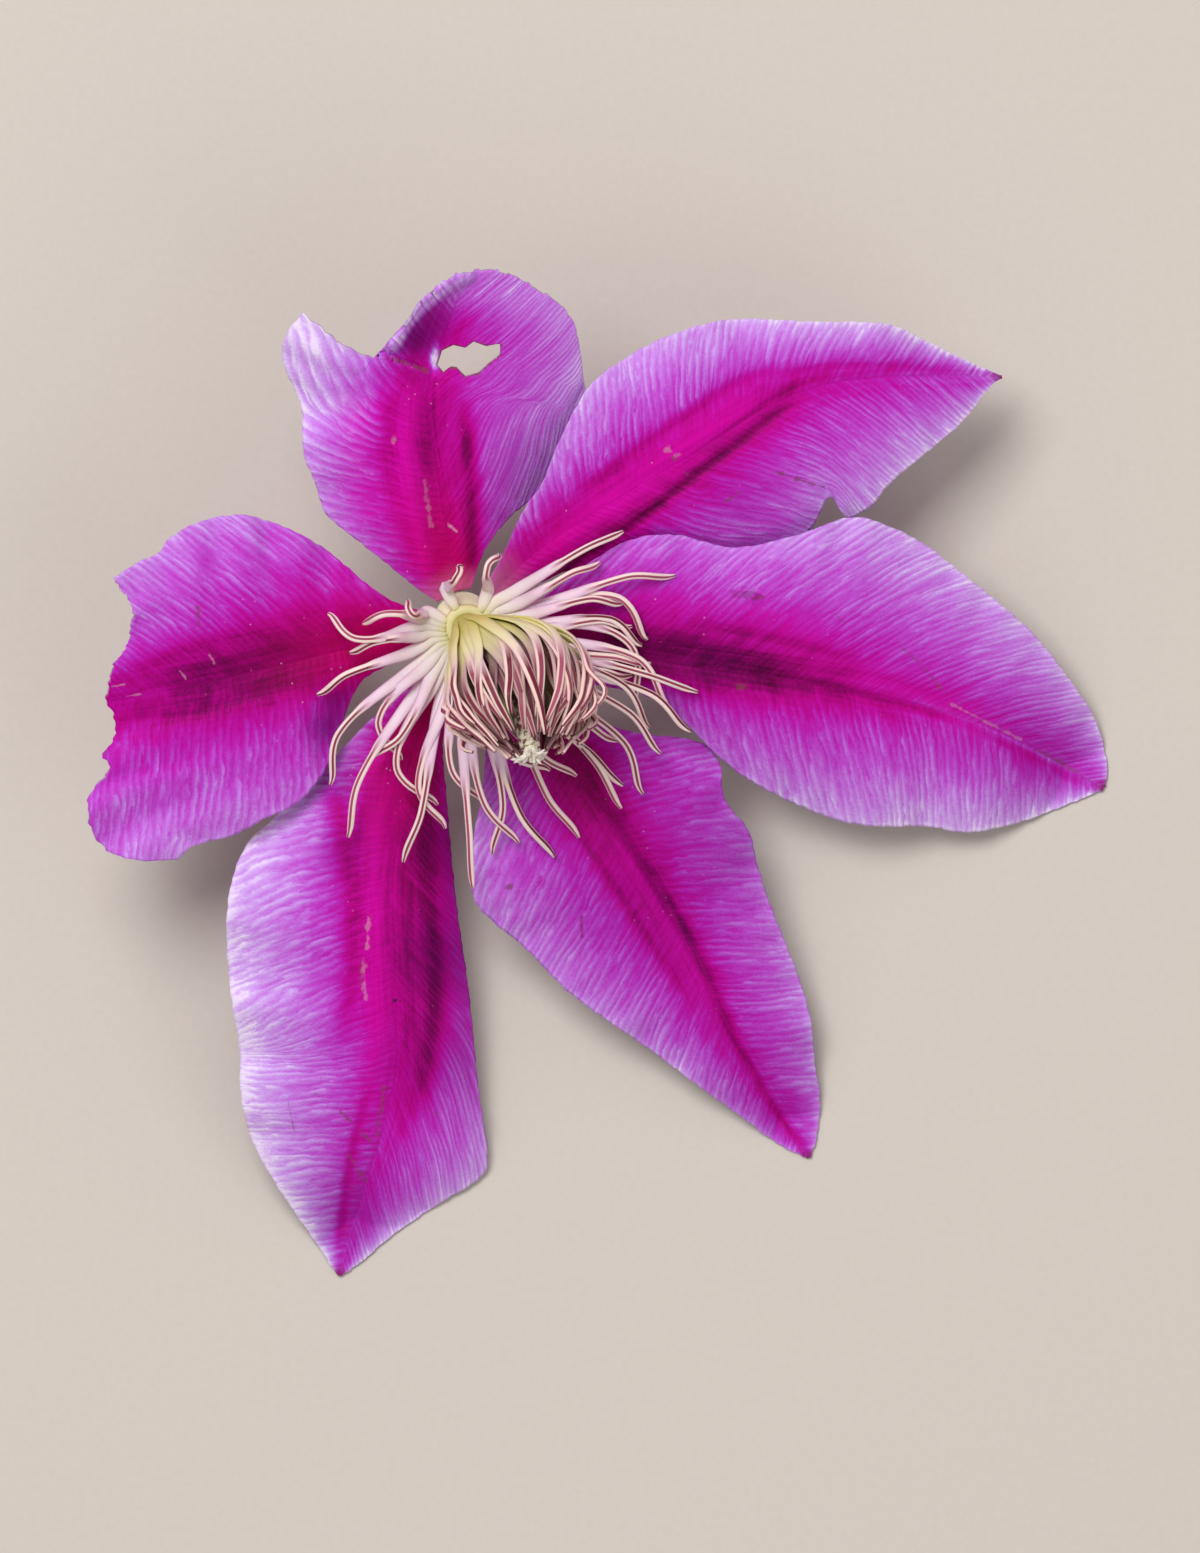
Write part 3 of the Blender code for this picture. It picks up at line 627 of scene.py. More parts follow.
@dataclass(frozen=True)
class StamenSkin(Finish):
    """Stamens: waxy, slightly see-through filaments and matt, grained anthers.

    A filament is greenish yellow at its foot, then cream flushed with pink. An anther is a maroon
    or rose band between two cream lines, which are the open seams of its pollen sacs.
    """

    name: str
    anther_start: float
    filament: tuple[tuple[float, str], ...]
    band: tuple[str, str]
    seam_start: float
    turned: float
    flush_start: float = 0.0
    seam: str = "#FAE0DA"

    EDGE = "#CF98C0"
    # Painted shade of the bulb's inside, laid on its deeper layers.
    PAINTED_BULB_SHADE = "#5E2430"
    EDGE_SHARE = 0.8
    SEAM_SOFTNESS = 0.18
    JOINT_SOFTNESS = 0.05
    GRAIN_MM = 0.35

    # Waxy and full of water, with anthers that are grained and so less glossy.
    IOR = 1.38
    ROUGHNESS = (0.42, 0.6)
    RELIEF_MM = 0.06
    SCATTER_MM = 0.8

    def dress(self, tree: bpy.types.NodeTree) -> None:
        """Lays the material's nodes.

        Args:
            tree: its empty tree.
        """
        value = read_fields(tree, "run", "across", "tint", "depth")
        start, seam_start = self.anther_start, self.seam_start
        low = add_node(tree, "MapRange", {0: value["run"], 1: 0.0, 2: start, 3: 0.0, 4: 1.0})
        filament = add_node(tree, "ValToRGB", {0: low}, stops=self.filament)
        # A filament is thinner at its edges, where more of the pink in it shows.
        thin = add_node(tree, "Math", {0: value["across"], 1: 2.0}, operation="POWER")
        flushed = add_node(tree, "MapRange", {0: low, 1: self.flush_start, 2: 1.0, 3: 0.0, 4: 1.0})
        thin = add_node(tree, "Math", {0: thin, 1: flushed}, operation="MULTIPLY")
        thin = add_node(tree, "Math", {0: thin, 1: self.EDGE_SHARE}, operation="MULTIPLY", use_clamp=True)
        filament = add_node(tree, "Mix", {0: thin, 6: filament, 7: linear(self.EDGE)}, out=2,
                            data_type="RGBA")
        dark, light = (linear(code) for code in self.band)
        band = add_node(tree, "Mix", {0: value["tint"], 6: dark, 7: light}, out=2, data_type="RGBA")
        # Each anther has turned a little about its length, so its band shows off centre.
        turned = add_node(tree, "MapRange", {
            0: value["tint"], 1: 0.0, 2: 1.0, 3: -self.turned, 4: self.turned,
        })
        away = add_node(tree, "Math", {0: value["across"], 1: turned}, operation="SUBTRACT")
        away = add_node(tree, "Math", {0: away}, operation="ABSOLUTE")
        seam = add_node(tree, "MapRange", {
            0: away, 1: seam_start, 2: seam_start + self.SEAM_SOFTNESS, 3: 0.0, 4: 1.0,
        })
        anther = add_node(tree, "Mix", {0: seam, 6: band, 7: linear(self.seam)}, out=2, data_type="RGBA")
        soft = self.JOINT_SOFTNESS
        change = add_node(tree, "MapRange", {
            0: value["run"], 1: start - soft, 2: start + soft, 3: 0.0, 4: 1.0,
        })
        colour = add_node(tree, "Mix", {0: change, 6: filament, 7: anther}, out=2, data_type="RGBA")
        # The deeper layers darken towards the painted shade of the bulb's inside.
        colour = add_node(tree, "Mix", {0: value["depth"], 6: colour, 7: linear(self.PAINTED_BULB_SHADE)}, out=2,
                          data_type="RGBA")
        place = add_node(tree, "TexCoord", out="Object")
        grain = add_node(tree, "TexNoise", patterned(place, self.GRAIN_MM, Detail=2.0))
        normal = add_node(tree, "Bump", {
            "Strength": 0.25, "Distance": self.RELIEF_MM * MM, "Height": grain,
        })
        glossy, dull = self.ROUGHNESS
        rough = add_node(tree, "MapRange", {0: grain, 1: 0.3, 2: 0.7, 3: glossy, 4: dull})
        shader = add_node(tree, "BsdfPrincipled", {
            "Base Color": colour, "Roughness": rough, "IOR": self.IOR, "Normal": normal,
            "Subsurface Weight": 0.15, "Subsurface Radius": (0.8, 0.5, 0.35),
            "Subsurface Scale": self.SCATTER_MM * MM,
        })
        add_node(tree, "OutputMaterial", {"Surface": shader})


@dataclass(frozen=True)
class StyleSkin(Finish):
    """Silky cream styles, softly shining, on a column that is brown where the bulb shades it."""

    name: str = "silky_styles"

    TONES = ((0.0, "#4A2A2A"), (0.5, "#6A4038"), (0.62, "#E6DCC0"), (0.85, "#F8F2E6"), (1.0, "#E8DACB"))
    MOTTLE_MM = 0.6

    def dress(self, tree: bpy.types.NodeTree) -> None:
        """Lays the material's nodes.

        Args:
            tree: its empty tree.
        """
        run = read_fields(tree, "run")["run"]
        place = add_node(tree, "TexCoord", out="Object")
        mottle = add_node(tree, "TexNoise", patterned(place, self.MOTTLE_MM, Detail=2.0))
        shift = add_node(tree, "MapRange", {0: mottle, 1: 0.3, 2: 0.7, 3: -0.12, 4: 0.12})
        tone = add_node(tree, "Math", {0: run, 1: shift}, operation="ADD", use_clamp=True)
        colour = add_node(tree, "ValToRGB", {0: tone}, stops=self.TONES)
        shader = add_node(tree, "BsdfPrincipled", {
            "Base Color": colour, "Roughness": 0.55, "IOR": 1.4, "Sheen Weight": 0.25,
        })
        add_node(tree, "OutputMaterial", {"Surface": shader})


@dataclass(frozen=True)
class StalkSkin(Finish):
    """A young clematis stalk: ribbed and downy, green flushed with purple brown on its ribs."""

    name: str = "downy_stalk"

    TONES = ((0.0, "#8FA049"), (0.45, "#7D7F45"), (0.8, "#6E4A3C"), (1.0, "#5E3434"))
    HEAD = "#F0ECC6"
    CUT = "#D9D8A6"
    MOTTLE_MM = 2.5
    FUZZ_MM = 0.3
    RELIEF_MM = 0.08

    def dress(self, tree: bpy.types.NodeTree) -> None:
        """Lays the material's nodes.

        Args:
            tree: its empty tree.
        """
        value = read_fields(tree, "run", "ridge", "cut")
        place = add_node(tree, "TexCoord", out="Object")
        mottle = add_node(tree, "TexNoise", patterned(place, self.MOTTLE_MM, Detail=3.0))
        shift = add_node(tree, "MapRange", {0: mottle, 1: 0.3, 2: 0.7, 3: -0.25, 4: 0.25})
        flush = add_node(tree, "Math", {0: value["ridge"], 1: shift}, operation="ADD", use_clamp=True)
        skin = add_node(tree, "ValToRGB", {0: flush}, stops=self.TONES)
        head = add_node(tree, "MapRange", {0: value["run"], 1: 0.80, 2: 0.93, 3: 0.0, 4: 1.0})
        skin = add_node(tree, "Mix", {0: head, 6: skin, 7: linear(self.HEAD)}, out=2, data_type="RGBA")
        colour = add_node(tree, "Mix", {0: value["cut"], 6: skin, 7: linear(self.CUT)}, out=2,
                          data_type="RGBA")
        fuzz = add_node(tree, "TexNoise", patterned(place, self.FUZZ_MM, Detail=2.0))
        normal = add_node(tree, "Bump", {"Strength": 0.3, "Distance": self.RELIEF_MM * MM, "Height": fuzz})
        shader = add_node(tree, "BsdfPrincipled", {
            "Base Color": colour, "Roughness": 0.6, "IOR": 1.42, "Normal": normal, "Sheen Weight": 0.3,
        })
        add_node(tree, "OutputMaterial", {"Surface": shader})


@dataclass(frozen=True)
class BackdropPaper(Finish):
    """Matt studio paper: a warm pale grey with the faintest fibre, so shadows fall soft on it."""

    name: str = "backdrop_paper"

    TONES = ((0.3, "#D2C9C0"), (0.7, "#D5CCC3"))
    FIBRE_MM = 0.8

    def dress(self, tree: bpy.types.NodeTree) -> None:
        """Lays the material's nodes.

        Args:
            tree: its empty tree.
        """
        place = add_node(tree, "TexCoord", out="Object")
        fibre = add_node(tree, "TexNoise", patterned(place, self.FIBRE_MM, Detail=3.0))
        colour = add_node(tree, "ValToRGB", {0: fibre}, stops=self.TONES)
        shader = add_node(tree, "BsdfPrincipled", {"Base Color": colour, "Roughness": 0.9})
        add_node(tree, "OutputMaterial", {"Surface": shader})


# ----- Sub-assemblies ----------------------------------


@dataclass(frozen=True)
class Vein:
    """A vein, or the ridge between two, as a line in plan from the claw towards the tip.

    Its middle takes the tone by the share. Its last value lays vivid magenta on it, partly the vein's
    own colour and partly painted highlight where its ridge faces the light. The height is how far it
    stands proud or lies sunk, in millimetres.
    """

    line: tuple[tuple[float, float], ...]
    half_width: float
    tone: float
    share: float
    height: float = -0.2
    ridge_magenta_and_highlight: float = 0.0


Stations = tuple[float, float, float, float, float]


@dataclass(frozen=True)
class Complexion:
    """How one blade is coloured, with left and right as seen from the claw.

    Stations are values at the claw, at a quarter, half and three quarters of the length, and at
    the tip. A bar's are the millimetres that the magenta reaches from the midrib, and the others
    are tones, from wine at 0 over magenta and orchid to pale lilac at 1. The feather says how far
    each half's side veins lean to the tip. The claw's red has a share and a reach, and its pale
    foot a share. Each spot of painted shade gives x, y, radius and share.
    """

    left_bar: Stations
    right_bar: Stations
    core: Stations
    left_margin: Stations
    right_margin: Stations
    veins: tuple[Vein, ...] = ()
    feather: tuple[float, float] = (1.0, 1.0)
    claw: float = 0.7
    claw_reach: float = 0.30
    foot: float = 0.0
    painted_shade_spots: tuple[tuple[float, float, float, float], ...] = ()
    marks: tuple[Mark, ...] = ()


def by_station(values: Stations, along: np.ndarray) -> np.ndarray:
    """The values between five stations that are evenly spaced from claw to tip."""
    return np.interp(along, np.linspace(0.0, 1.0, len(values)), values)


@dataclass
class Tepal:
    """A blade lofted over its midrib between two margins, as in the solids but finely worked.

    The margins are named as seen from the claw looking to the tip. A torn blade has no tip: its
    torn edge runs from the end of the left margin, through the midrib's, to the right margin's.
    """

    name: str
    midrib: Places
    left: Places
    right: Places
    torn: Places = ()
    hole: tuple[tuple[float, float], ...] = ()
    torn_reach: float = 3.0
    seed: int = 1
    complexion: Complexion | None = None

    # The margin rises late, over a low bow, which is lower still where the blade is narrow.
    CUP_POWER = 1.7
    BLADE_BOW = 0.9
    BOW_WIDTH = 12.0
    SOLID_THICKNESS = 0.7
    CELLS_ACROSS = 110
    CELLS_ALONG = 210
    # Cells are narrower at the midrib, and a pointed blade ends just short of its margins' meeting.
    CELL_SPREAD = 1.15
    TIP_END = 0.996
    THICK_MIDDLE = 0.42
    THICK_MARGIN = 0.2
    MARGIN_TAPER = 4.0

    # Each wave has its height and its wavelengths. Shifts along it set the two sides apart.
    NIBBLE, NIBBLE_WAVES, NIBBLE_POWER = 0.07, (3.1, 1.9, 1.2), 8
    RIPPLE, RIPPLE_WAVES, RIPPLE_POWER = 0.26, (9.1, 5.3, 3.9), 3
    RIPPLE_WIDTH = 8.0
    RAGGED, RAGGED_WAVES = 0.22, (4.3, 2.3, 1.3, 0.8)
    WANDER, WANDER_WAVES = 0.07, (11.0, 6.3, 4.1)
    MARGIN_SHIFT, WANDER_SHIFT = 5.0, 3

    # Where the nibbles and ripples begin, and where a vein fades in and out, as shares of a length.
    NIBBLE_START = (0.05, 0.15)
    RIPPLE_START = (0.08, 0.25)
    VEIN_START = (-0.05, 0.12)
    VEIN_END = (0.76, 1.02)

    # The bar falls off steeply from its core, and the tone beyond it pales evenly to the margin.
    MIDDLE_TONE = 0.43
    BAR_POWER = 3.4
    BAR_LIMIT = 0.9
    PALE_POWER = 1.15
    EDGE_PALING = 0.04
    EDGE_MM = 0.9
    # How far the side veins lean at the claw, and how much more at the tip.
    VEIN_LEAN = (0.30, 0.42)
    TIP_BROWN = 0.75
    TIP_MM = (0.2, 2.2)
    FAR = 50.0
    HOLE_STEPS = 12

    def __post_init__(self) -> None:
        """Lays the guide curves."""
        self.guides = {key: Guide(getattr(self, key)) for key in ("left", "right")}
        # The midrib is stepped finely, so that side veins fanning out round its bends stay smooth.
        self.guides["midrib"] = Guide(self.midrib, 48)
        self.length = self.guides["midrib"].length
        if self.torn:
            self.guides["torn"] = torn = Guide(self.torn)
            gaps = np.linalg.norm(torn.line - np.array(self.midrib[-1]), axis=1)
            self.torn_middle = float(torn.shares[gaps.argmin()])

    def surface(self, across: np.ndarray, along: np.ndarray) -> np.ndarray:
        """The blade's middle surface, without its fine relief.

        Args:
            across: -1 at the left margin to 1 at the right.
            along: 0 at the claw to 1 at the tip or torn edge.

        Returns:
            World places in millimetres.
        """
        midrib = self.guides["midrib"].at(along)
        sides = across[..., None] < 0
        margin = np.where(sides, self.guides["left"].at(along), self.guides["right"].at(along))
        outward = unit((margin - midrib) * (1.0, 1.0, 0.0))
        run = along * self.length + self.MARGIN_SHIFT * np.sign(across)
        # The very edge is a little nibbled, and it waves up and down.
        reach = np.abs(across)[..., None]
        nibble = self.NIBBLE * Waves(self.seed + 7, self.NIBBLE_WAVES).at(run)
        nibble = nibble * np.abs(across) ** self.NIBBLE_POWER * ease(*self.NIBBLE_START, along)
        place = midrib + (margin - midrib) * reach + outward * nibble[..., None]
        width = np.linalg.norm((margin - midrib)[..., :2], axis=-1)
        bow = self.BLADE_BOW * np.minimum(1.0, width / self.BOW_WIDTH) * np.sin(math.pi * reach[..., 0])
        place[..., 2] = midrib[..., 2] + (margin - midrib)[..., 2] * reach[..., 0] ** self.CUP_POWER + bow
        if self.torn:
            end = np.array(self.midrib[-1])
            corner = np.where(sides, np.array(self.left[-1]), np.array(self.right[-1]))
            straight = end + (corner - end) * reach
            share = np.interp(across, (-1.0, 0.0, 1.0), (0.0, self.torn_middle, 1.0))
            pull = self.guides["torn"].at(share) - straight
            jag = Waves(self.seed + 9, self.RAGGED_WAVES).at(share * self.guides["torn"].length)
            pull += unit(end - np.array(self.midrib[0])) * (self.RAGGED * jag)[..., None]
            place += pull * along[..., None] ** self.torn_reach
        wave = Waves(self.seed, self.RIPPLE_WAVES).at(run) * np.minimum(1.0, width / self.RIPPLE_WIDTH)
        wave = self.RIPPLE * wave * np.abs(across) ** self.RIPPLE_POWER
        place[..., 2] += wave * ease(*self.RIPPLE_START, along)
        place[..., 2] += self.form(place)
        world = HEART + place
        world[..., 2] += lean_height(place[..., 0], place[..., 1])
        world[..., 2] = np.maximum(world[..., 2], self.SOLID_THICKNESS / 2)
        return world

    def form(self, place: np.ndarray) -> np.ndarray:
        """A further rise or fall of this blade's own; the plain blade has none."""
        return np.zeros(place.shape[:-1])

    def build(self) -> bpy.types.Object:
        """Makes the blade's two faces and its edge, with its relief and the fields that colour it.

        Returns:
            The finished piece.
        """
        spread = np.linspace(-1.0, 1.0, self.CELLS_ACROSS + 1)
        across_row = np.sign(spread) * np.abs(spread) ** self.CELL_SPREAD
        along_row = np.linspace(0.0, 1.0 if self.torn else self.TIP_END, self.CELLS_ALONG + 1)
        across, along = np.meshgrid(across_row, along_row)
        middle = self.surface(across, along)
        normal = unit(np.cross(np.gradient(middle, axis=1), np.gradient(middle, axis=0)))
        fields = self._fields(across, along, middle)

        relief = fields.pop("relief")
        middle_share = ease(0.0, self.MARGIN_TAPER, fields.pop("margin_mm"))
        half = (self.THICK_MARGIN + (self.THICK_MIDDLE - self.THICK_MARGIN) * middle_share) / 2
        faces_up = middle + normal * (half + relief)[..., None]
        faces_down = middle - normal * (half - relief * 1.1)[..., None]
        self._snap_hole(faces_up, faces_down, middle)
        places, faces = self._close(faces_up, faces_down, self._kept(middle))
        values = {name: np.tile(field.ravel(), 2) for name, field in fields.items()}
        values["front"] = np.repeat((1.0, 0.0), across.size)
        work = MeshWork()
        work.add(places, faces, **values)
        skin = TepalSkin("tepal_skin_" + self.name.removeprefix("tepal_"), self.complexion.marks)
        return work.build(self.name + "_blade", skin.build(), "tepal", self.name)

    def _fields(self, across: np.ndarray, along: np.ndarray, middle: np.ndarray) -> dict[str, np.ndarray]:
        """The fields that shape the relief and that the skin reads.

        Args:
            across: the grid's places from margin to margin.
            along: the grid's places from claw to tip.
            middle: the grid's world places.

        Returns:
            Each field on the grid, by name.
        """
        look = self.complexion
        steps = np.linalg.norm(np.diff(middle, axis=1), axis=-1)
        travelled = np.concatenate([np.zeros((len(steps), 1)), np.cumsum(steps, axis=1)], axis=1)
        centre = self.CELLS_ACROSS // 2
        rib = travelled - travelled[:, centre : centre + 1]
        width = np.where(across < 0, -rib[:, :1], rib[:, -1:])
        margin = np.maximum(width - np.abs(rib), 0.0)
        run = along * self.length
        left = across < 0
        wander = Waves(self.seed + 3, self.WANDER_WAVES).at(run + self.WANDER_SHIFT * np.sign(across))

        foot, gap = self.guides["midrib"].foot((middle - HEART)[..., :2])
        lean = np.where(left, *look.feather)
        streak = foot - gap * lean * (self.VEIN_LEAN[0] + self.VEIN_LEAN[1] * along)

        bar = np.where(left, by_station(look.left_bar, along), by_station(look.right_bar, along))
        bar = np.minimum(bar * (1 + self.WANDER * wander), self.BAR_LIMIT * width + 0.2)
        in_bar = 1 / (1 + (np.abs(rib) / np.maximum(bar, 0.3)) ** self.BAR_POWER)
        edge = np.where(left, by_station(look.left_margin, along), by_station(look.right_margin, along))
        outward = np.abs(rib) / np.maximum(width, 0.5)
        outer = self.MIDDLE_TONE + (edge - self.MIDDLE_TONE) * outward**self.PALE_POWER
        outer += self.EDGE_PALING * (1 - ease(0.0, self.EDGE_MM, margin))
        tone = by_station(look.core, along) * in_bar + outer * (1 - in_bar)
        tone, relief, ridge_magenta_and_highlight = self._veined(tone, middle)
        tone = self.local_tone(tone, middle)
        tip = np.zeros_like(along)
        if not self.torn:
            tip = (1 - ease(*self.TIP_MM, (1 - along) * self.length)) * self.TIP_BROWN
        return {
            "tone": np.clip(tone, 0.0, 1.0),
            "rib_mm": rib, "run_mm": run, "streak_mm": streak, "reach_mm": gap, "margin_mm": margin,
            "relief": relief, "ridge_magenta_and_highlight": ridge_magenta_and_highlight, "bar": in_bar, "tip": tip,
            "torn_mm": self._eaten_distance(middle),
            "claw": (1 - ease(0.02, look.claw_reach, along)) * look.claw * in_bar,
            "foot": (1 - ease(0.0, 0.10, along)) * look.foot,
            "painted_shade": self.local_painted_shade(self._painted_shade_share(middle), middle),
            "side": np.sign(across) * 0.5 + self.seed,
        }

    def _veined(self, tone: np.ndarray, middle: np.ndarray) -> tuple[np.ndarray, np.ndarray, np.ndarray]:
        """Lays the blade's veins and the ridges between them over its tone.

        Args:
            tone: the tone without them.
            middle: the grid's world places.

        Returns:
            The tone with them, the relief in millimetres, and the share of ridge magenta with painted
            highlight.
        """
        relief, dull = np.zeros(tone.shape), np.ones(tone.shape)
        for vein in self.complexion.veins:
            line = Guide(tuple((x, y, 0.0) for x, y in vein.line)).line[:, :2]
            gap, share = self._plan_distance(middle, line)
            near = np.exp(-((gap / vein.half_width) ** 2))
            near = near * ease(*self.VEIN_START, share) * (1 - ease(*self.VEIN_END, share))
            tone = tone + (vein.tone - tone) * vein.share * near
            relief += vein.height * near
            dull *= 1 - vein.ridge_magenta_and_highlight * near
        return tone, relief, 1 - dull

    def local_tone(self, tone: np.ndarray, middle: np.ndarray) -> np.ndarray:
        """A change of tone in places of this blade's own; the plain blade has none."""
        return tone

    def local_painted_shade(self, painted_shade: np.ndarray, middle: np.ndarray) -> np.ndarray:
        """A change of the painted shade in places of this blade's own; the plain blade has none."""
        return painted_shade

    def _painted_shade_share(self, middle: np.ndarray) -> np.ndarray:
        """How much painted shade lies on the blade, from its spots of painted shade.

        Args:
            middle: the grid's world places.

        Returns:
            The share of painted shade, from 0 to 1.
        """
        plan = (middle - HEART)[..., :2]
        clear = np.ones(plan.shape[:-1])
        for x, y, radius, share in self.complexion.painted_shade_spots:
            away = np.linalg.norm(plan - (x, y), axis=-1)
            clear *= 1 - share * np.exp(-((away / radius) ** 2))
        return 1 - clear

    def _eaten_distance(self, middle: np.ndarray) -> np.ndarray:
        """How far each place is from the edge of an eaten hole, in plan.

        Args:
            middle: the grid's world places.

        Returns:
            The distance in millimetres, and a long one where nothing is eaten.
        """
        if not self.hole:
            return np.full(middle.shape[:-1], self.FAR)
        return self._plan_distance(middle, self._hole_line())[0]

    def _hole_line(self) -> np.ndarray:
        """Steps the hole's outline finely.

        Returns:
            Its points, in plan from the heart.
        """
        corners = np.array(self.hole + self.hole[:1])
        step = np.linspace(0, 1, self.HOLE_STEPS, endpoint=False)[:, None]
        return np.vstack([a + (b - a) * step for a, b in zip(corners, corners[1:])])

    @staticmethod
    def _plan_distance(middle: np.ndarray, line: np.ndarray) -> tuple[np.ndarray, np.ndarray]:
        """Finds the point of a finely stepped line that is nearest to each place, in plan.

        Args:
            middle: the world places.
            line: the line's points, in plan from the heart.

        Returns:
            How far that point is, and its share of the line.
        """
        plan = (middle - HEART)[..., :2].reshape(-1, 1, 2)
        parts = [np.linalg.norm(plan[i : i + BATCH] - line, axis=-1) for i in range(0, len(plan), BATCH)]
        gap = np.concatenate([part.min(axis=1) for part in parts])
        share = np.concatenate([part.argmin(axis=1) for part in parts]) / (len(line) - 1)
        return gap.reshape(middle.shape[:-1]), share.reshape(middle.shape[:-1])

    def _kept(self, middle: np.ndarray) -> np.ndarray:
        """Finds the cells of the grid that are there: those whose middle lies outside the hole.

        Args:
            middle: the grid's world places.

        Returns:
            Whether each cell is there.
        """
        plan = (middle - HEART)[..., :2]
        centre = (plan[:-1, :-1] + plan[1:, :-1] + plan[:-1, 1:] + plan[1:, 1:]) / 4
        if not self.hole:
            return np.ones(centre.shape[:-1], bool)
        x, y = centre[..., 0], centre[..., 1]
        inside = np.zeros(x.shape, bool)
        for (x0, y0), (x1, y1) in zip(self.hole, self.hole[1:] + self.hole[:1]):
            crosses = (y0 > y) != (y1 > y)
            inside ^= crosses & (x < (x1 - x0) * (y - y0) / ((y1 - y0) or 1e-9) + x0)
        return ~inside

    def _snap_hole(self, upper: np.ndarray, lower: np.ndarray, middle: np.ndarray) -> None:
        """Brings the vertices on the hole's rim onto its outline, so that its edge isn't stepped.

        Args:
            upper: the upper face's grid of places, which is changed.
            lower: the lower face's, which is changed.
            middle: the middle surface's.
        """
        if not self.hole:
            return
        kept = np.pad(self._kept(middle), 1, constant_values=True)
        near = np.stack([kept[:-1, :-1], kept[1:, :-1], kept[:-1, 1:], kept[1:, 1:]])
        rim = near.any(axis=0) & ~near.all(axis=0)
        line = self._hole_line() + HEART[:2]
        for row, column in zip(*np.nonzero(rim)):
            place = middle[row, column]
            target = line[np.argmin(np.linalg.norm(line - place[:2], axis=1))]
            shift = target - place[:2]
            upper[row, column, :2] += shift
            lower[row, column, :2] += shift

    @staticmethod
    def _close(upper: np.ndarray, lower: np.ndarray, kept: np.ndarray) -> tuple[np.ndarray, list]:
        """Joins the kept cells of two faces into one closed body with an edge all round.

        Args:
            upper: the upper face's grid of places.
            lower: the lower face's.
            kept: which cells are there.

        Returns:
            The vertices and the faces.
        """
        rows, columns = upper.shape[:2]
        number = np.arange(rows * columns).reshape(rows, columns)
        under = rows * columns
        a, b, c, d = number[:-1, :-1], number[:-1, 1:], number[1:, 1:], number[1:, :-1]
        cells = np.stack([a, b, c, d], axis=-1)[kept]
        faces = cells.tolist()
        faces += (cells[:, ::-1] + under).tolist()
        open_cells = np.pad(kept, 1, constant_values=False)
        sides = (
            (open_cells[:-2, 1:-1], a, b),
            (open_cells[2:, 1:-1], c, d),
            (open_cells[1:-1, 2:], b, c),
            (open_cells[1:-1, :-2], d, a),
        )
        for beyond, start, end in sides:
            edge = kept & ~beyond
            for s, e in zip(start[edge], end[edge]):
                faces.append((e, s, s + under, e + under))
        return np.vstack([upper.reshape(-1, 3), lower.reshape(-1, 3)]), faces


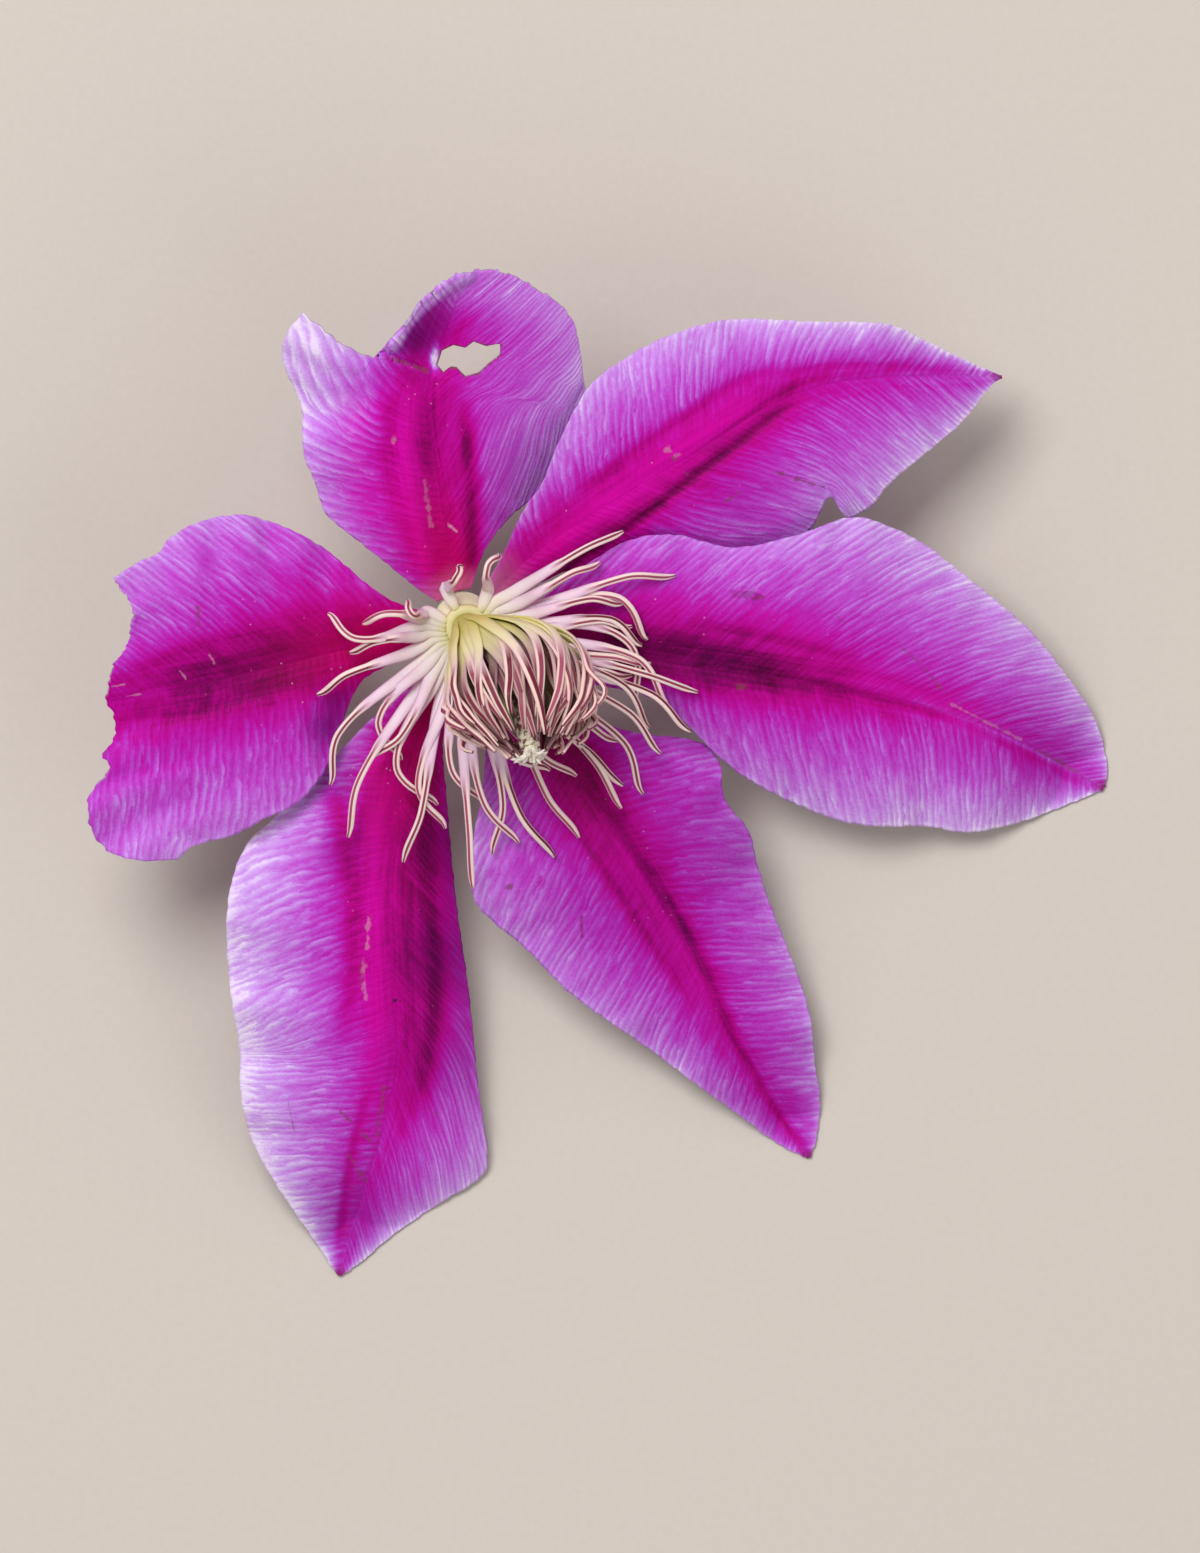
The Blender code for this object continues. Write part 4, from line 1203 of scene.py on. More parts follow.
class HoodedTepal(Tepal):
    """The upper tepal, whose eaten end arches over like a hood with a dark hollow under it."""

    SLIT = ((-8.6, 29.5), (-4.2, 27.9))
    SLIT_EDGE = 0.45
    HOLLOW = (-5.4, 31.6)
    HOLLOW_RADIUS = 3.4
    HOLLOW_DEPTH = 2.0
    FLANK_RISE = 1.3
    FLANK = ((-8.4, 29.4), (-6.9, 32.4), (-5.2, 34.6), (-3.2, 36.3), (-1.2, 37.8), (0.5, 38.6))
    FLANK_HALF = (0.3, 1.0)
    FLANK_START = (29.8, 31.0)
    PALE_TONE = 0.80
    PALE_FROM = (32.5, 38.0)
    PALE_SHARE = 0.75
    LIP = (-3.1, 29.3)
    LIP_HALF = (0.6, 1.3)
    LIP_TONE = 0.96
    LIP_SHARE = 1.4

    def form(self, place: np.ndarray) -> np.ndarray:
        """The hood's hollow falls away behind the slit, and its flank curls up at the edge."""
        x, y = place[..., 0], place[..., 1]
        return self.FLANK_RISE * self._flank(place) - self.HOLLOW_DEPTH * self._hollow(x, y)

    def local_tone(self, tone: np.ndarray, middle: np.ndarray) -> np.ndarray:
        """The hood pales to its top, its curled flank shows a pale rim, and so does the hole's lip.

        Args:
            tone: the tone without them.
            middle: the grid's world places.

        Returns:
            The tone with them.
        """
        place = middle - HEART
        x, y = place[..., 0], place[..., 1]
        tone = tone + (self.PALE_TONE - tone) * self.PALE_SHARE * ease(*self.PALE_FROM, y + 0.25 * x)
        tone = tone + (self.PALE_TONE - tone) * self._flank(place)
        away = ((x - self.LIP[0]) / self.LIP_HALF[0]) ** 2 + ((y - self.LIP[1]) / self.LIP_HALF[1]) ** 2
        return tone + (self.LIP_TONE - tone) * np.clip(self.LIP_SHARE * np.exp(-away), 0.0, 1.0)

    def local_painted_shade(self, painted_shade: np.ndarray, middle: np.ndarray) -> np.ndarray:
        """The curled flank's rim catches the light, so no painted shade lies on it."""
        return painted_shade * (1 - self._flank(middle - HEART))

    def _hollow(self, x: np.ndarray, y: np.ndarray) -> np.ndarray:
        """How far a place lies in the hollow, which starts sharply at the slit.

        Args:
            x: places in plan from the heart.
            y: the same.

        Returns:
            A share from 0 outside it to 1 in its middle.
        """
        (x0, y0), (x1, y1) = self.SLIT
        above = y - (y0 + (y1 - y0) * (x - x0) / (x1 - x0))
        radius = self.HOLLOW_RADIUS
        away = ((x - self.HOLLOW[0]) / radius) ** 2 + ((y - self.HOLLOW[1]) / radius) ** 2
        return np.exp(-away) * ease(0.0, self.SLIT_EDGE, above)

    def _flank(self, place: np.ndarray) -> np.ndarray:
        """How near a place is to the hood's curled edge.

        Args:
            place: places from the heart.

        Returns:
            A share from 0 away from it to 1 on it.
        """
        line = Guide(tuple((x, y, 0.0) for x, y in self.FLANK)).line[:, :2]
        gap, _ = self._plan_distance(place + HEART, line)
        return (1 - ease(*self.FLANK_HALF, gap)) * ease(*self.FLANK_START, place[..., 1])

    def _eaten_distance(self, middle: np.ndarray) -> np.ndarray:
        """As for any eaten blade, with the slit from the notch to the hole.

        Args:
            middle: the grid's world places.

        Returns:
            The distance in millimetres.
        """
        start, end = (np.array(corner) for corner in self.SLIT)
        slit = start + (end - start) * np.linspace(0.0, 1.0, 40)[:, None]
        return np.minimum(super()._eaten_distance(middle), self._plan_distance(middle, slit)[0])


@dataclass
class OuterStamens:
    """The splayed stamens: each leaves its ring at one bearing and ends at another.

    Their flat filaments are stiff, and their thin anthers have curled over as they opened.
    """

    runs: tuple[tuple[float, float, float, float], ...]
    ring: tuple[float, float, float, float] = (1.3, 2.5, 2.2, 3.3)
    root_height: float = 3.0
    root_radius: float = 2.3
    lift: float = 6.8
    tip_lift: float = 5.6
    spread: float = 0.5
    seed: int = 11
    filament_half: float = 0.74
    anther_half: float = 0.39
    anther_start: float = 0.56

    STEPS = 40
    SIDES = 10
    FURROW_DEPTH = 0.55
    # From where each stamen spreads out, and its height over the bloom's plane on the way there.
    ROOT_REACH = 4.0
    ROOT_LIFTS = (3.4, 4.4)
    # An anther arches out most at ARCH_TOP. Its end drops so far, and draws back by a share of it.
    ARCH_START, ARCH_TOP, ARCH_SWELL = 0.20, 0.74, 1.25
    CURL_START = 0.80
    DROPS = (0.7, 1.5)
    DRAW_BACK = 0.45

    def skin(self) -> StamenSkin:
        """Makes the finish: cream filaments flushed with pink, and broad maroon to rose bands.

        Returns:
            The finish.
        """
        return StamenSkin(
            name="outer_stamen_skin", anther_start=self.anther_start,
            filament=((0.0, "#E4DA94"), (0.16, "#F4E8DA"), (0.50, "#F6E6EE"), (1.0, "#EEC8E0")),
            band=("#701A32", "#B05070"), seam_start=0.26, turned=0.5,
        )

    def build(self) -> bpy.types.Object:
        """Makes the ring and every stamen on it.

        Returns:
            The finished piece.
        """
        work = MeshWork()
        draw = random.Random(self.seed)
        curl = random.Random(self.seed + 1)
        share = np.linspace(0.0, 1.0, self.STEPS)
        start, filament, anther = self.anther_start, self.filament_half, self.anther_half
        width = np.interp(share, (0, 0.12, 0.30, start, start + 0.05, 0.94, 1.0),
                          (0.55 * filament, 0.95 * filament, filament, 0.72 * filament, anther, anther,
                           0.5 * anther))
        depth = np.interp(share, (0, start, start + 0.08, 1.0), (0.24, 0.16, 0.30, 0.24))
        groove = self.FURROW_DEPTH * ease(start, start + 0.08, share)
        for leaving, ending, reach, bulge in self.runs:
            change = draw.uniform(-self.spread, self.spread)
            path = self._path(leaving, ending, reach, change)
            path = self._curled(path, share, bulge, curl.uniform(*self.DROPS))
            places, faces, values = sweep(path, (0.0, 0.0, 1.0), width, depth, self.SIDES, groove)
            work.add(places, faces, tint=curl.random(), depth=0.0, **values)
        places, faces = turned_ring(self.ring)
        work.add(places, faces, tint=0.5, depth=0.0, run=0.02, across=0.0)
        return work.build("outer_stamen_whorl", self.skin().build(), "filament", "outer_stamens")

    def _path(self, leaving: float, ending: float, reach: float, change: float) -> np.ndarray:
        """Draws the stamen's middle line, from inside the ring to its tip.

        Args:
            leaving: the bearing that it leaves the ring at, in degrees.
            ending: the bearing that it ends at.
            reach: how far its tip is from the heart in plan.
            change: how much higher than the others it runs.

        Returns:
            The line's places in the world.
        """
        root = ring_place(self.root_radius, math.radians(leaving), self.root_height)
        share = np.linspace(0.0, 1.0, 9)
        angle = np.radians(leaving + (ending - leaving) * share**2)
        far = self.ROOT_REACH + (reach - self.ROOT_REACH) * share
        x, y = far * np.cos(angle), far * np.sin(angle)
        lifts = (*self.ROOT_LIFTS, self.lift + change, self.lift + change, self.tip_lift + change)
        z = lean_height(x, y) + np.interp(share, (0.0, 0.16, 0.4, 0.7, 1.0), lifts)
        points = np.vstack([root, np.stack([x, y, z], axis=1)])
        return HEART + Guide(points).at(np.linspace(0.0, 1.0, self.STEPS))

    def _curled(self, path: np.ndarray, share: np.ndarray, bulge: float, fall: float) -> np.ndarray:
        """Arches the anther out to one side, so that its end curls back to where it was.

        Args:
            path: the stamen's middle line.
            share: the share of its length at each point.
            bulge: how far it arches to the left of its heading, in millimetres.
            fall: how far its end drops, in millimetres.

        Returns:
            The curled line.
        """
        ahead = unit((path[-1] - path[0]) * (1.0, 1.0, 0.0))
        left = np.array((-ahead[1], ahead[0], 0.0))
        arch = ease(self.ARCH_START, self.ARCH_TOP, share) * (1 - ease(self.ARCH_TOP, 1.0, share))
        arch = (arch * self.ARCH_SWELL)[:, None]
        end = (ease(self.CURL_START, 1.0, share) ** 1.3)[:, None]
        back = ahead * self.DRAW_BACK * abs(bulge) * end
        return path + left * bulge * arch - back - np.array((0.0, 0.0, fall)) * end


def ring_place(radius: float, bearing: float, height: float) -> np.ndarray:
    """A place on a ring round the bloom's axis, from the heart."""
    return bloom_axis_places([[radius * math.cos(bearing), radius * math.sin(bearing), height]])


def turned_ring(ring: tuple[float, float, float, float], sides: int = 48,
                soft: float = 0.25) -> tuple[np.ndarray, list]:
    """A flat ring with rounded shoulders round the bloom's axis.

    Args:
        ring: its inner and outer radius, its foot and its top, along the axis.
        sides: how many sides it has.
        soft: the radius of its shoulders.

    Returns:
        Its vertices and faces.
    """
    inner, outer, foot, top = ring
    profile = [(inner, foot + soft), (inner + soft, foot), (outer - soft, foot), (outer, foot + soft),
               (outer, top - soft), (outer - soft, top), (inner + soft, top), (inner, top - soft)]
    angle = np.arange(sides) * math.tau / sides
    rings = [[(r * math.cos(t), r * math.sin(t), h) for r, h in profile] for t in angle]
    places = HEART + bloom_axis_places(np.array(rings).reshape(-1, 3))
    count = len(profile)
    faces = []
    for k in range(sides):
        n = (k + 1) % sides
        for p in range(count):
            q = (p + 1) % count
            faces.append((k * count + p, n * count + p, n * count + q, k * count + q))
    return places, faces


@dataclass
class Column:
    """The column that the inner stamens close round, as places from the heart."""

    route: Places = (
        (0.3, -0.6, 2.4), (0.9, -1.7, 6.6), (3.3, -4.0, 10.8), (6.4, -8.4, 14.6), (7.7, -15.0, 18.0)
    )

    # The bulb is a little wider than it is deep.
    FLATNESS = 1.10

    def __post_init__(self) -> None:
        """Lays the guide curve."""
        self.guide = Guide(self.route)

    def frame(self, share: np.ndarray) -> tuple[np.ndarray, np.ndarray, np.ndarray]:
        """The column's middle and the directions across it.

        Args:
            share: shares of its length.

        Returns:
            The places at those shares, and two directions across the column at each.
        """
        place = self.guide.at(share)
        ahead = self.guide.at(np.minimum(1.0, share + 0.02)) - self.guide.at(np.maximum(0.0, share - 0.02))
        other = unit(np.cross(ahead, (1.0, 0.0, 0.0)))
        return place, unit(np.cross(other, ahead)), other

    def around(self, share: np.ndarray, radius: np.ndarray,
               bearing: np.ndarray) -> tuple[np.ndarray, np.ndarray]:
        """Places round the column.

        Args:
            share: shares of its length.
            radius: how far from its middle each place is.
            bearing: each place's bearing round it, in radians.

        Returns:
            The places in the world, and their outward directions.
        """
        place, side, other = self.frame(share)
        outward = side * np.cos(bearing)[:, None] + other * np.sin(bearing)[:, None]
        wide = side * (self.FLATNESS * np.cos(bearing))[:, None] + other * np.sin(bearing)[:, None]
        return HEART + place + wide * radius[:, None], outward


@dataclass(frozen=True)
class Layer:
    """A layer of inner stamens: how many, how far out on the bulb, how loose and how shaded."""

    count: int
    swell: float
    loose: float
    depth: float


@dataclass
class InnerStamens:
    """The incurved stamens that close in a bulb round the pistil, layer on layer."""

    column: Column
    layers: tuple[Layer, ...] = (
        Layer(22, 0.70, 0.05, 0.7), Layer(26, 0.86, 0.06, 0.35), Layer(34, 1.0, 0.08, 0.0)
    )
    ring: tuple[float, float, float, float] = (1.0, 1.75, 3.3, 4.1)
    root_radius: float = 1.55
    root_height: float = 3.9
    bulb: tuple[tuple[float, float], ...] = (
        (0.22, 2.4), (0.34, 4.0), (0.48, 6.2), (0.64, 7.9), (0.80, 6.9), (0.93, 3.8), (1.05, 2.0)
    )
    seed: int = 5
    anther_start: float = 0.69

    STEPS = 40
    SIDES = 12
    FURROW_DEPTH = 0.45
    # Small differences: the bearing and twist in radians, where on the column a stamen ends, and
    # how many times further from it than the bulb's outline its end may stand.
    BEARING_SPREAD = 0.06
    TWIST_SPREAD = 0.36
    ENDS = (0.86, 0.99)
    CLOSINGS = (0.8, 1.9)
    # The bulb's radii are made small for its guide, so that its steps follow the column's shares.
    GUIDE_SCALE = 20

    def skin(self) -> StamenSkin:
        """Makes the finish: green-yellow filaments that pale to the anther, and narrow seams.

        Returns:
            The finish.
        """
        return StamenSkin(
            name="inner_stamen_skin", anther_start=self.anther_start,
            filament=((0.0, "#C0BE4E"), (0.45, "#DED874"), (0.80, "#F2E8B4"), (1.0, "#F2D0CC")),
            band=("#701630", "#BC5C7A"), seam_start=0.42, turned=0.3, flush_start=0.78, seam="#F8D4CC",
        )

    def build(self) -> bpy.types.Object:
        """Makes the ring and every stamen on it.

        Returns:
            The finished piece.
        """
        work = MeshWork()
        draw = random.Random(self.seed)
        share = np.linspace(0.0, 1.0, self.STEPS)
        start = self.anther_start
        width = np.interp(share, (0, 0.15, 0.35, start, start + 0.08, 0.9, 1.0),
                          (0.32, 0.60, 0.74, 0.56, 0.52, 0.44, 0.22))
        depth = np.interp(share, (0, start, start + 0.08, 1.0), (0.22, 0.18, 0.32, 0.2))
        groove = self.FURROW_DEPTH * ease(start, start + 0.08, share)
        for layer in self.layers:
            for index in range(layer.count):
                path, outward = self._path(layer, index, draw)
                places, faces, values = sweep(path, outward, width, depth, self.SIDES, groove)
                # The deeper a layer lies, the nearer to its foot the painted shade of the bulb's inside
                # begins.
                shade_start = 0.50 - 0.45 * layer.depth
                painted_bulb_shade = np.interp(values["run"], (shade_start, shade_start + 0.28), (0.0, layer.depth))
                work.add(places, faces, tint=draw.random(), depth=painted_bulb_shade, **values)
        places, faces = turned_ring(self.ring)
        work.add(places, faces, tint=0.5, depth=0.0, run=0.10, across=0.0)
        return work.build("inner_stamen_whorl", self.skin().build(), "anther", "inner_stamens")

    def _path(self, layer: Layer, index: int, draw: random.Random) -> tuple[np.ndarray, np.ndarray]:
        """Draws one stamen.

        Args:
            layer: the layer that it is in.
            index: its number in the layer.
            draw: the source of its small differences.

        Returns:
            Its middle line in the world, and the direction that its flat side looks in.
        """
        bearing = math.tau * (index + 0.5 * layer.swell) / layer.count
        bearing += draw.uniform(-self.BEARING_SPREAD, self.BEARING_SPREAD)
        swell = layer.swell * (1.0 + draw.uniform(-layer.loose, layer.loose))
        last = draw.uniform(*self.ENDS)
        twist = draw.gauss(0.0, self.TWIST_SPREAD)
        closing = draw.uniform(*self.CLOSINGS)
        run = np.linspace(self.bulb[0][0], last, self.STEPS)
        progress = (run - run[0]) / (run[-1] - run[0])
        profile = Guide(tuple((share, radius / self.GUIDE_SCALE, 0.0) for share, radius in self.bulb)).line
        radius = np.interp(run, profile[:, 0], profile[:, 1] * self.GUIDE_SCALE) * swell
        radius = radius * (1 + (closing - 1) * ease(0.75, 1.0, progress) * 0.6)
        places, outward = self.column.around(run, radius, bearing + twist * progress**2)
        root = HEART + ring_place(self.root_radius, bearing, self.root_height)
        guide = Guide(np.vstack([root, places[2:]]))
        even = np.linspace(0.0, 1.0, self.STEPS)
        return guide.at(even), unit(Guide(np.vstack([outward[:1], outward[2:]])).at(even))


@dataclass
class Pistil:
    """The carpels' silky column and the tuft of styles that stands out of the bulb."""

    column: Column
    profile: tuple[tuple[float, float], ...] = (
        (0.0, 1.4), (0.24, 1.4), (0.42, 2.2), (0.75, 1.7), (0.97, 1.1)
    )
    style_count: int = 26
    style_length: float = 2.9
    seed: int = 9

    STEPS = 30
    SIDES = 16
    STYLE_STEPS = 12
    STYLE_SIDES = 8
    # The styles leave the column here, and stand round it by the golden angle's share of a turn.
    TUFT_START = 0.95
    STYLE_TURN = 0.382
    STYLE_LENGTHS = (0.75, 1.05)
    STYLE_BEND = 0.3

    def build(self) -> bpy.types.Object:
        """Makes the column and its styles.

        Returns:
            The finished piece.
        """
        work = MeshWork()
        draw = random.Random(self.seed)
        shares, radii = zip(*self.profile)
        run = np.linspace(0.0, shares[-1], self.STEPS)
        path = HEART + self.column.guide.at(run)
        radius = np.interp(run, shares, radii)
        _, side, _ = self.column.frame(run)
        places, faces, values = sweep(path, side, radius, radius, self.SIDES)
        values["run"] = values["run"] * 0.6
        work.add(places, faces, **values)
        place, side, other = (vectors[0] for vectors in self.column.frame(np.array([self.TUFT_START])))
        ahead = unit(self.column.guide.at(1.0) - self.column.guide.at(0.9))
        for index in range(self.style_count):
            bearing = math.tau * index * self.STYLE_TURN
            lean = 0.15 + 0.6 * ((index + 0.5) / self.style_count) ** 0.6
            outward = side * math.cos(bearing) + other * math.sin(bearing)
            length = self.style_length * draw.uniform(*self.STYLE_LENGTHS)
            start = place + outward * 0.5 * lean
            points = np.array([
                start - ahead * 1.0,
                start + ahead * length * 0.35 + outward * lean * 0.4,
                start + ahead * length * 0.65 + outward * lean * length * 0.45,
                start + ahead * length * (0.85 - 0.4 * lean) + outward * lean * length * 0.95,
            ])
            bend = self.STYLE_BEND
            points[2:] += np.array([[draw.uniform(-bend, bend) for _ in range(3)] for _ in range(2)])
            share = np.linspace(0.0, 1.0, self.STYLE_STEPS)
            line = HEART + Guide(points).at(share)
            width = np.interp(share, (0.0, 0.5, 0.85, 1.0), (0.30, 0.24, 0.22, 0.08))
            places, faces, values = sweep(line, outward, width, width * 0.8, self.STYLE_SIDES)
            values["run"] = 0.5 + 0.5 * values["run"]
            work.add(places, faces, **values)
        return work.build("pistil_tuft", StyleSkin().build(), "style", "pistil")


@dataclass
class Stalk:
    """The cut stalk and the receptacle that it swells into, as one grown body."""

    route: Places = (
        (-9.6, 27.5, -19.85), (-8.2, 21.0, -19.85), (-6.4, 15.6, -19.4), (-4.2, 10.2, -17.2),
        (-2.3, 5.5, -12.6), (-1.1, 2.4, -7.4),
    )
    radius: float = 1.13
    head: tuple[tuple[float, float], ...] = (
        (-5.4, 1.15), (-4.2, 1.7), (-2.6, 2.6), (-1.0, 3.1), (0.2, 3.2), (1.2, 2.9), (2.0, 2.2)
    )
    ribs: int = 8
    hairs: int = 420
    hair_length: float = 0.75
    seed: int = 17

    STEPS = 120
    SIDES = 48
    # As shares of its length: where its radius begins to follow its head's, and where its down ends.
    HEAD_START = 0.7
    DOWN_END = 0.74
    RIB_DEPTH = 0.07
    TOP_ROUNDING = 0.55
    HAIR_HALF_WIDTHS = (0.035, 0.03, 0.022, 0.008)
    HAIR_LENGTHS = (0.6, 1.0)

    def build(self) -> bpy.types.Object:
        """Makes the ribbed stalk with its head and its down.

        Returns:
            The finished piece.
        """
        heights = np.array([height for height, _ in self.head])
        axis = bloom_axis_places(np.stack([0 * heights, 0 * heights, heights], axis=1))
        guide = Guide(np.vstack([np.array(self.route), axis]))
        share = np.linspace(0.0, 1.0, self.STEPS)
        path = guide.at(share)
        along_axis = bloom_axis_places([[0.0, 0.0, 1.0]])[0]
        height = path @ along_axis
        radius = np.interp(height, heights, [r for _, r in self.head])
        radius[share < self.HEAD_START] = self.radius
        head = ease(self.head[0][0], self.head[2][0], height) * (share > self.HEAD_START)
        radius[-1] *= self.TOP_ROUNDING
        places, faces, values = sweep(HEART + path, (1.0, 0.0, 0.0), radius, radius, self.SIDES)
        angle = np.tile(np.arange(self.SIDES) * math.tau / self.SIDES, self.STEPS)
        ridge = 0.5 + 0.5 * np.cos(angle * self.ribs)
        middle = np.repeat(HEART + path, self.SIDES, axis=0)
        shrink = self.RIB_DEPTH * (1 - ridge) * np.repeat(1 - head, self.SIDES)
        rings = places[:-2] + (middle - places[:-2]) * shrink[:, None]
        places = np.vstack([rings, places[-2:]])
        places[:, 2] = np.maximum(places[:, 2], 0.0)
        cut = np.zeros(len(places))
        cut[-2] = 1.0
        work = MeshWork()
        values["cut"] = cut
        values["ridge"] = np.append(ridge, (0.0, 0.0))
        work.add(places, faces, **values)
        self._down(work, path)
        return work.build("stalk_and_receptacle", StalkSkin().build(), "stalk", "stalk")

    def _down(self, work: MeshWork, path: np.ndarray) -> None:
        """Sets short soft hairs all along the stalk, leaning to its head.

        Args:
            work: the mesh that they join.
            path: the stalk's middle line, from the heart.
        """
        draw = random.Random(self.seed)
        ahead = unit(np.gradient(path, axis=0))
        side = unit(np.cross(ahead, (1.0, 0.0, 0.0)))
        other = np.cross(side, ahead)
        last = int(self.DOWN_END * self.STEPS)
        for _ in range(self.hairs):
            row = draw.randrange(3, last)
            bearing = draw.uniform(0.0, math.tau)
            outward = side[row] * math.cos(bearing) + other[row] * math.sin(bearing)
            root = HEART + path[row] + outward * self.radius * 0.85
            tip = root + (outward + ahead[row] * 0.6) * self.hair_length * draw.uniform(*self.HAIR_LENGTHS)
            if min(root[2], tip[2]) < 0.1:
                continue
            share = np.linspace(0.0, 1.0, 4)[:, None]
            line = root + (tip - root) * share + ahead[row] * 0.12 * share**2
            width = np.array(self.HAIR_HALF_WIDTHS)
            places, faces, values = sweep(line, ahead[row], width, width, 4)
            work.add(places, faces, run=row / self.STEPS, across=0.0, ridge=0.1, cut=0.7)


@dataclass(frozen=True)
class Softbox:
    """A square soft light that looks at the bloom: its place and side in metres, power in watts."""

    name: str
    place: tuple[float, float, float]
    side: float
    power: float

    def build(self) -> None:
        """Hangs the light."""
        lamp = bpy.data.lights.new(self.name, "AREA")
        lamp.size = self.side
        lamp.energy = self.power
        hung = bpy.data.objects.new(self.name, lamp)
        hung.location = self.place
        hung.rotation_euler = Vector(self.place).to_track_quat("Z", "Y").to_euler()
        bpy.context.scene.collection.objects.link(hung)


@dataclass
class Studio:
    """A pale paper floor, soft lights and a camera that looks straight down."""

    softboxes: tuple[Softbox, ...] = (
        Softbox("key_softbox", (-0.30, 0.40, 1.05), 0.5, 8.9),
        Softbox("fill_softbox", (0.60, -0.50, 0.90), 0.9, 2.0),
    )
    air: str = "#F4F2F0"
    air_strength: float = 0.41
    floor_half: float = 1.5
    camera_height: float = 3.5
    frame_width: float = 0.136
    aspect: float = 1553 / 1200
    sensor: float = 36.0

    def build(self) -> None:
        """Makes the floor, the lights, the world and the camera."""
        self._floor()
        for softbox in self.softboxes:
            softbox.build()
        world = bpy.data.worlds.new("studio_air")
        bpy.context.scene.world = world
        world.use_nodes = True
        background = world.node_tree.nodes["Background"]
        background.inputs["Color"].default_value = linear(self.air)
        background.inputs["Strength"].default_value = self.air_strength
        self._camera()
        bpy.context.scene.view_settings.view_transform = "Standard"

    def _floor(self) -> None:
        """Lays the paper."""
        half = self.floor_half
        mesh = bpy.data.meshes.new("paper_floor")
        corners = [(-half, -half, 0), (half, -half, 0), (half, half, 0), (-half, half, 0)]
        mesh.from_pydata(corners, [], [(0, 1, 2, 3)])
        mesh.materials.append(BackdropPaper().build())
        floor = bpy.data.objects.new("paper_floor", mesh)
        bpy.context.scene.collection.objects.link(floor)

    def _camera(self) -> None:
        """Sets the camera over the middle of the bloom's outline."""
        data = bpy.data.cameras.new("camera")
        data.sensor_width = self.sensor
        data.lens = self.sensor * self.camera_height / (self.frame_width * self.aspect)
        data.clip_start = 0.01
        camera = bpy.data.objects.new("camera", data)
        camera.location = (0.0, 0.0, self.camera_height)
        bpy.context.scene.collection.objects.link(camera)
        bpy.context.scene.camera = camera


TEPAL_TOP = HoodedTepal(
    "tepal_top",
    midrib=((-0.6, 3.4, 0), (-1.7, 9, 1), (-3, 17, 2.4), (-4, 25, 4), (-2.5, 31, 5.2), (0.5, 38.8, 8.5)),
    left=((-2.9, 2.1, 0), (-5.4, 3.8, 0.4), (-8.6, 6.4, 0.9), (-12, 9.1, 1.2), (-15.4, 12, 0.8),
          (-16.6, 15.4, 1.8), (-17.9, 18.8, 2.8), (-18.2, 24, 1.6), (-20.2, 29, 3), (-19.8, 32, 4.4),
          (-17.9, 34.4, 5.2)),
    right=((0.9, 3.6, 0), (2.6, 8.2, 0.4), (5.6, 12, 0), (10, 15.4, -0.6), (12.2, 19.6, -0.8),
           (13.8, 24.2, 0.4), (13.4, 27.2, 2)),
    torn=((-17.9, 34.4, 5.2), (-14.8, 31.8, 4.4), (-12.2, 30.1, 3.6), (-10.4, 29.5, 3.2),
          (-8.5, 29.6, 3.2), (-7.5, 31.4, 5), (-6.1, 33.4, 7), (-4.6, 35.6, 8.4), (-2.4, 37.6, 8.8),
          (0.5, 38.9, 8.5), (4.1, 39, 7.2), (6.8, 37.9, 6), (9.8, 36.1, 5.2), (12, 34.2, 4.4),
          (12.9, 31.4, 3.4), (13.4, 27.2, 2)),
    hole=((-2.9, 28.6), (-2.4, 30.2), (-1, 30.9), (0.3, 30.6), (1.2, 31.3), (2.6, 30.8), (4.2, 31.1),
          (4.2, 29.7), (3, 28.8), (1.8, 27.7), (0.3, 27.3), (-0.7, 28.3), (-1.4, 28.4), (-2.2, 27.8)),
    seed=21,
    complexion=Complexion(
        left_bar=(2.8, 5.2, 6.4, 6.6, 4.0), right_bar=(1.8, 2.8, 2.9, 2.8, 3.6),
        core=(0.30, 0.25, 0.22, 0.26, 0.48),
        left_margin=(0.52, 0.66, 0.82, 0.94, 0.98), right_margin=(0.50, 0.60, 0.80, 0.88, 0.92),
        veins=(
            Vein(((1, 4), (1, 10), (0.9, 15), (0.4, 20), (0, 26.5)), 1.1, 0.06, 0.85, -0.34),
            Vein(((-4.8, 6), (-7, 12), (-8.3, 17), (-8.3, 22), (-8.7, 26)), 1, 0.14, 0.55, -0.24),
            Vein(((-2, 6), (-3.4, 13), (-3.8, 20), (-3.2, 26.5)), 0.7, 0.15, 0.5, -0.10),
            Vein(((-3.2, 4), (-5, 9), (-6.1, 14), (-6.5, 19), (-6, 24), (-4.6, 27.5)),
                 1.3, 0.30, 0.3, 0.30, 0.75),
            Vein(((-9, 10), (-11, 16), (-11.4, 22), (-11.6, 27)), 2.6, 0.52, 0.2, 0, 0.30),
        ),
        feather=(0.8, 2.4), claw=0.8, claw_reach=0.5, foot=0.25,
        # Spots of painted shade, the first two in the hood's hollow.
        painted_shade_spots=((-5.2, 31.4, 2.4, 0.62), (-3.2, 33.8, 2.2, 0.3), (8.2, 17.5, 5, 0.30),
               (6, 12, 5, 0.12)),
        marks=(
            Mark(SCAR, (-4.4, 15.6), (-4.1, 13.4), 0.20, 0.25),
            Mark(SCAR, (-3.9, 12.8), (-3.6, 10.6), 0.24, 0.3),
            Mark(SCAR, (-1.7, 10.9), (-0.8, 10), 0.13, 0.7),
            Mark(SCAR, (-7.8, 20.6), (-7.8, 19.9), 0.22, 0.35),
        ),
    ),
)

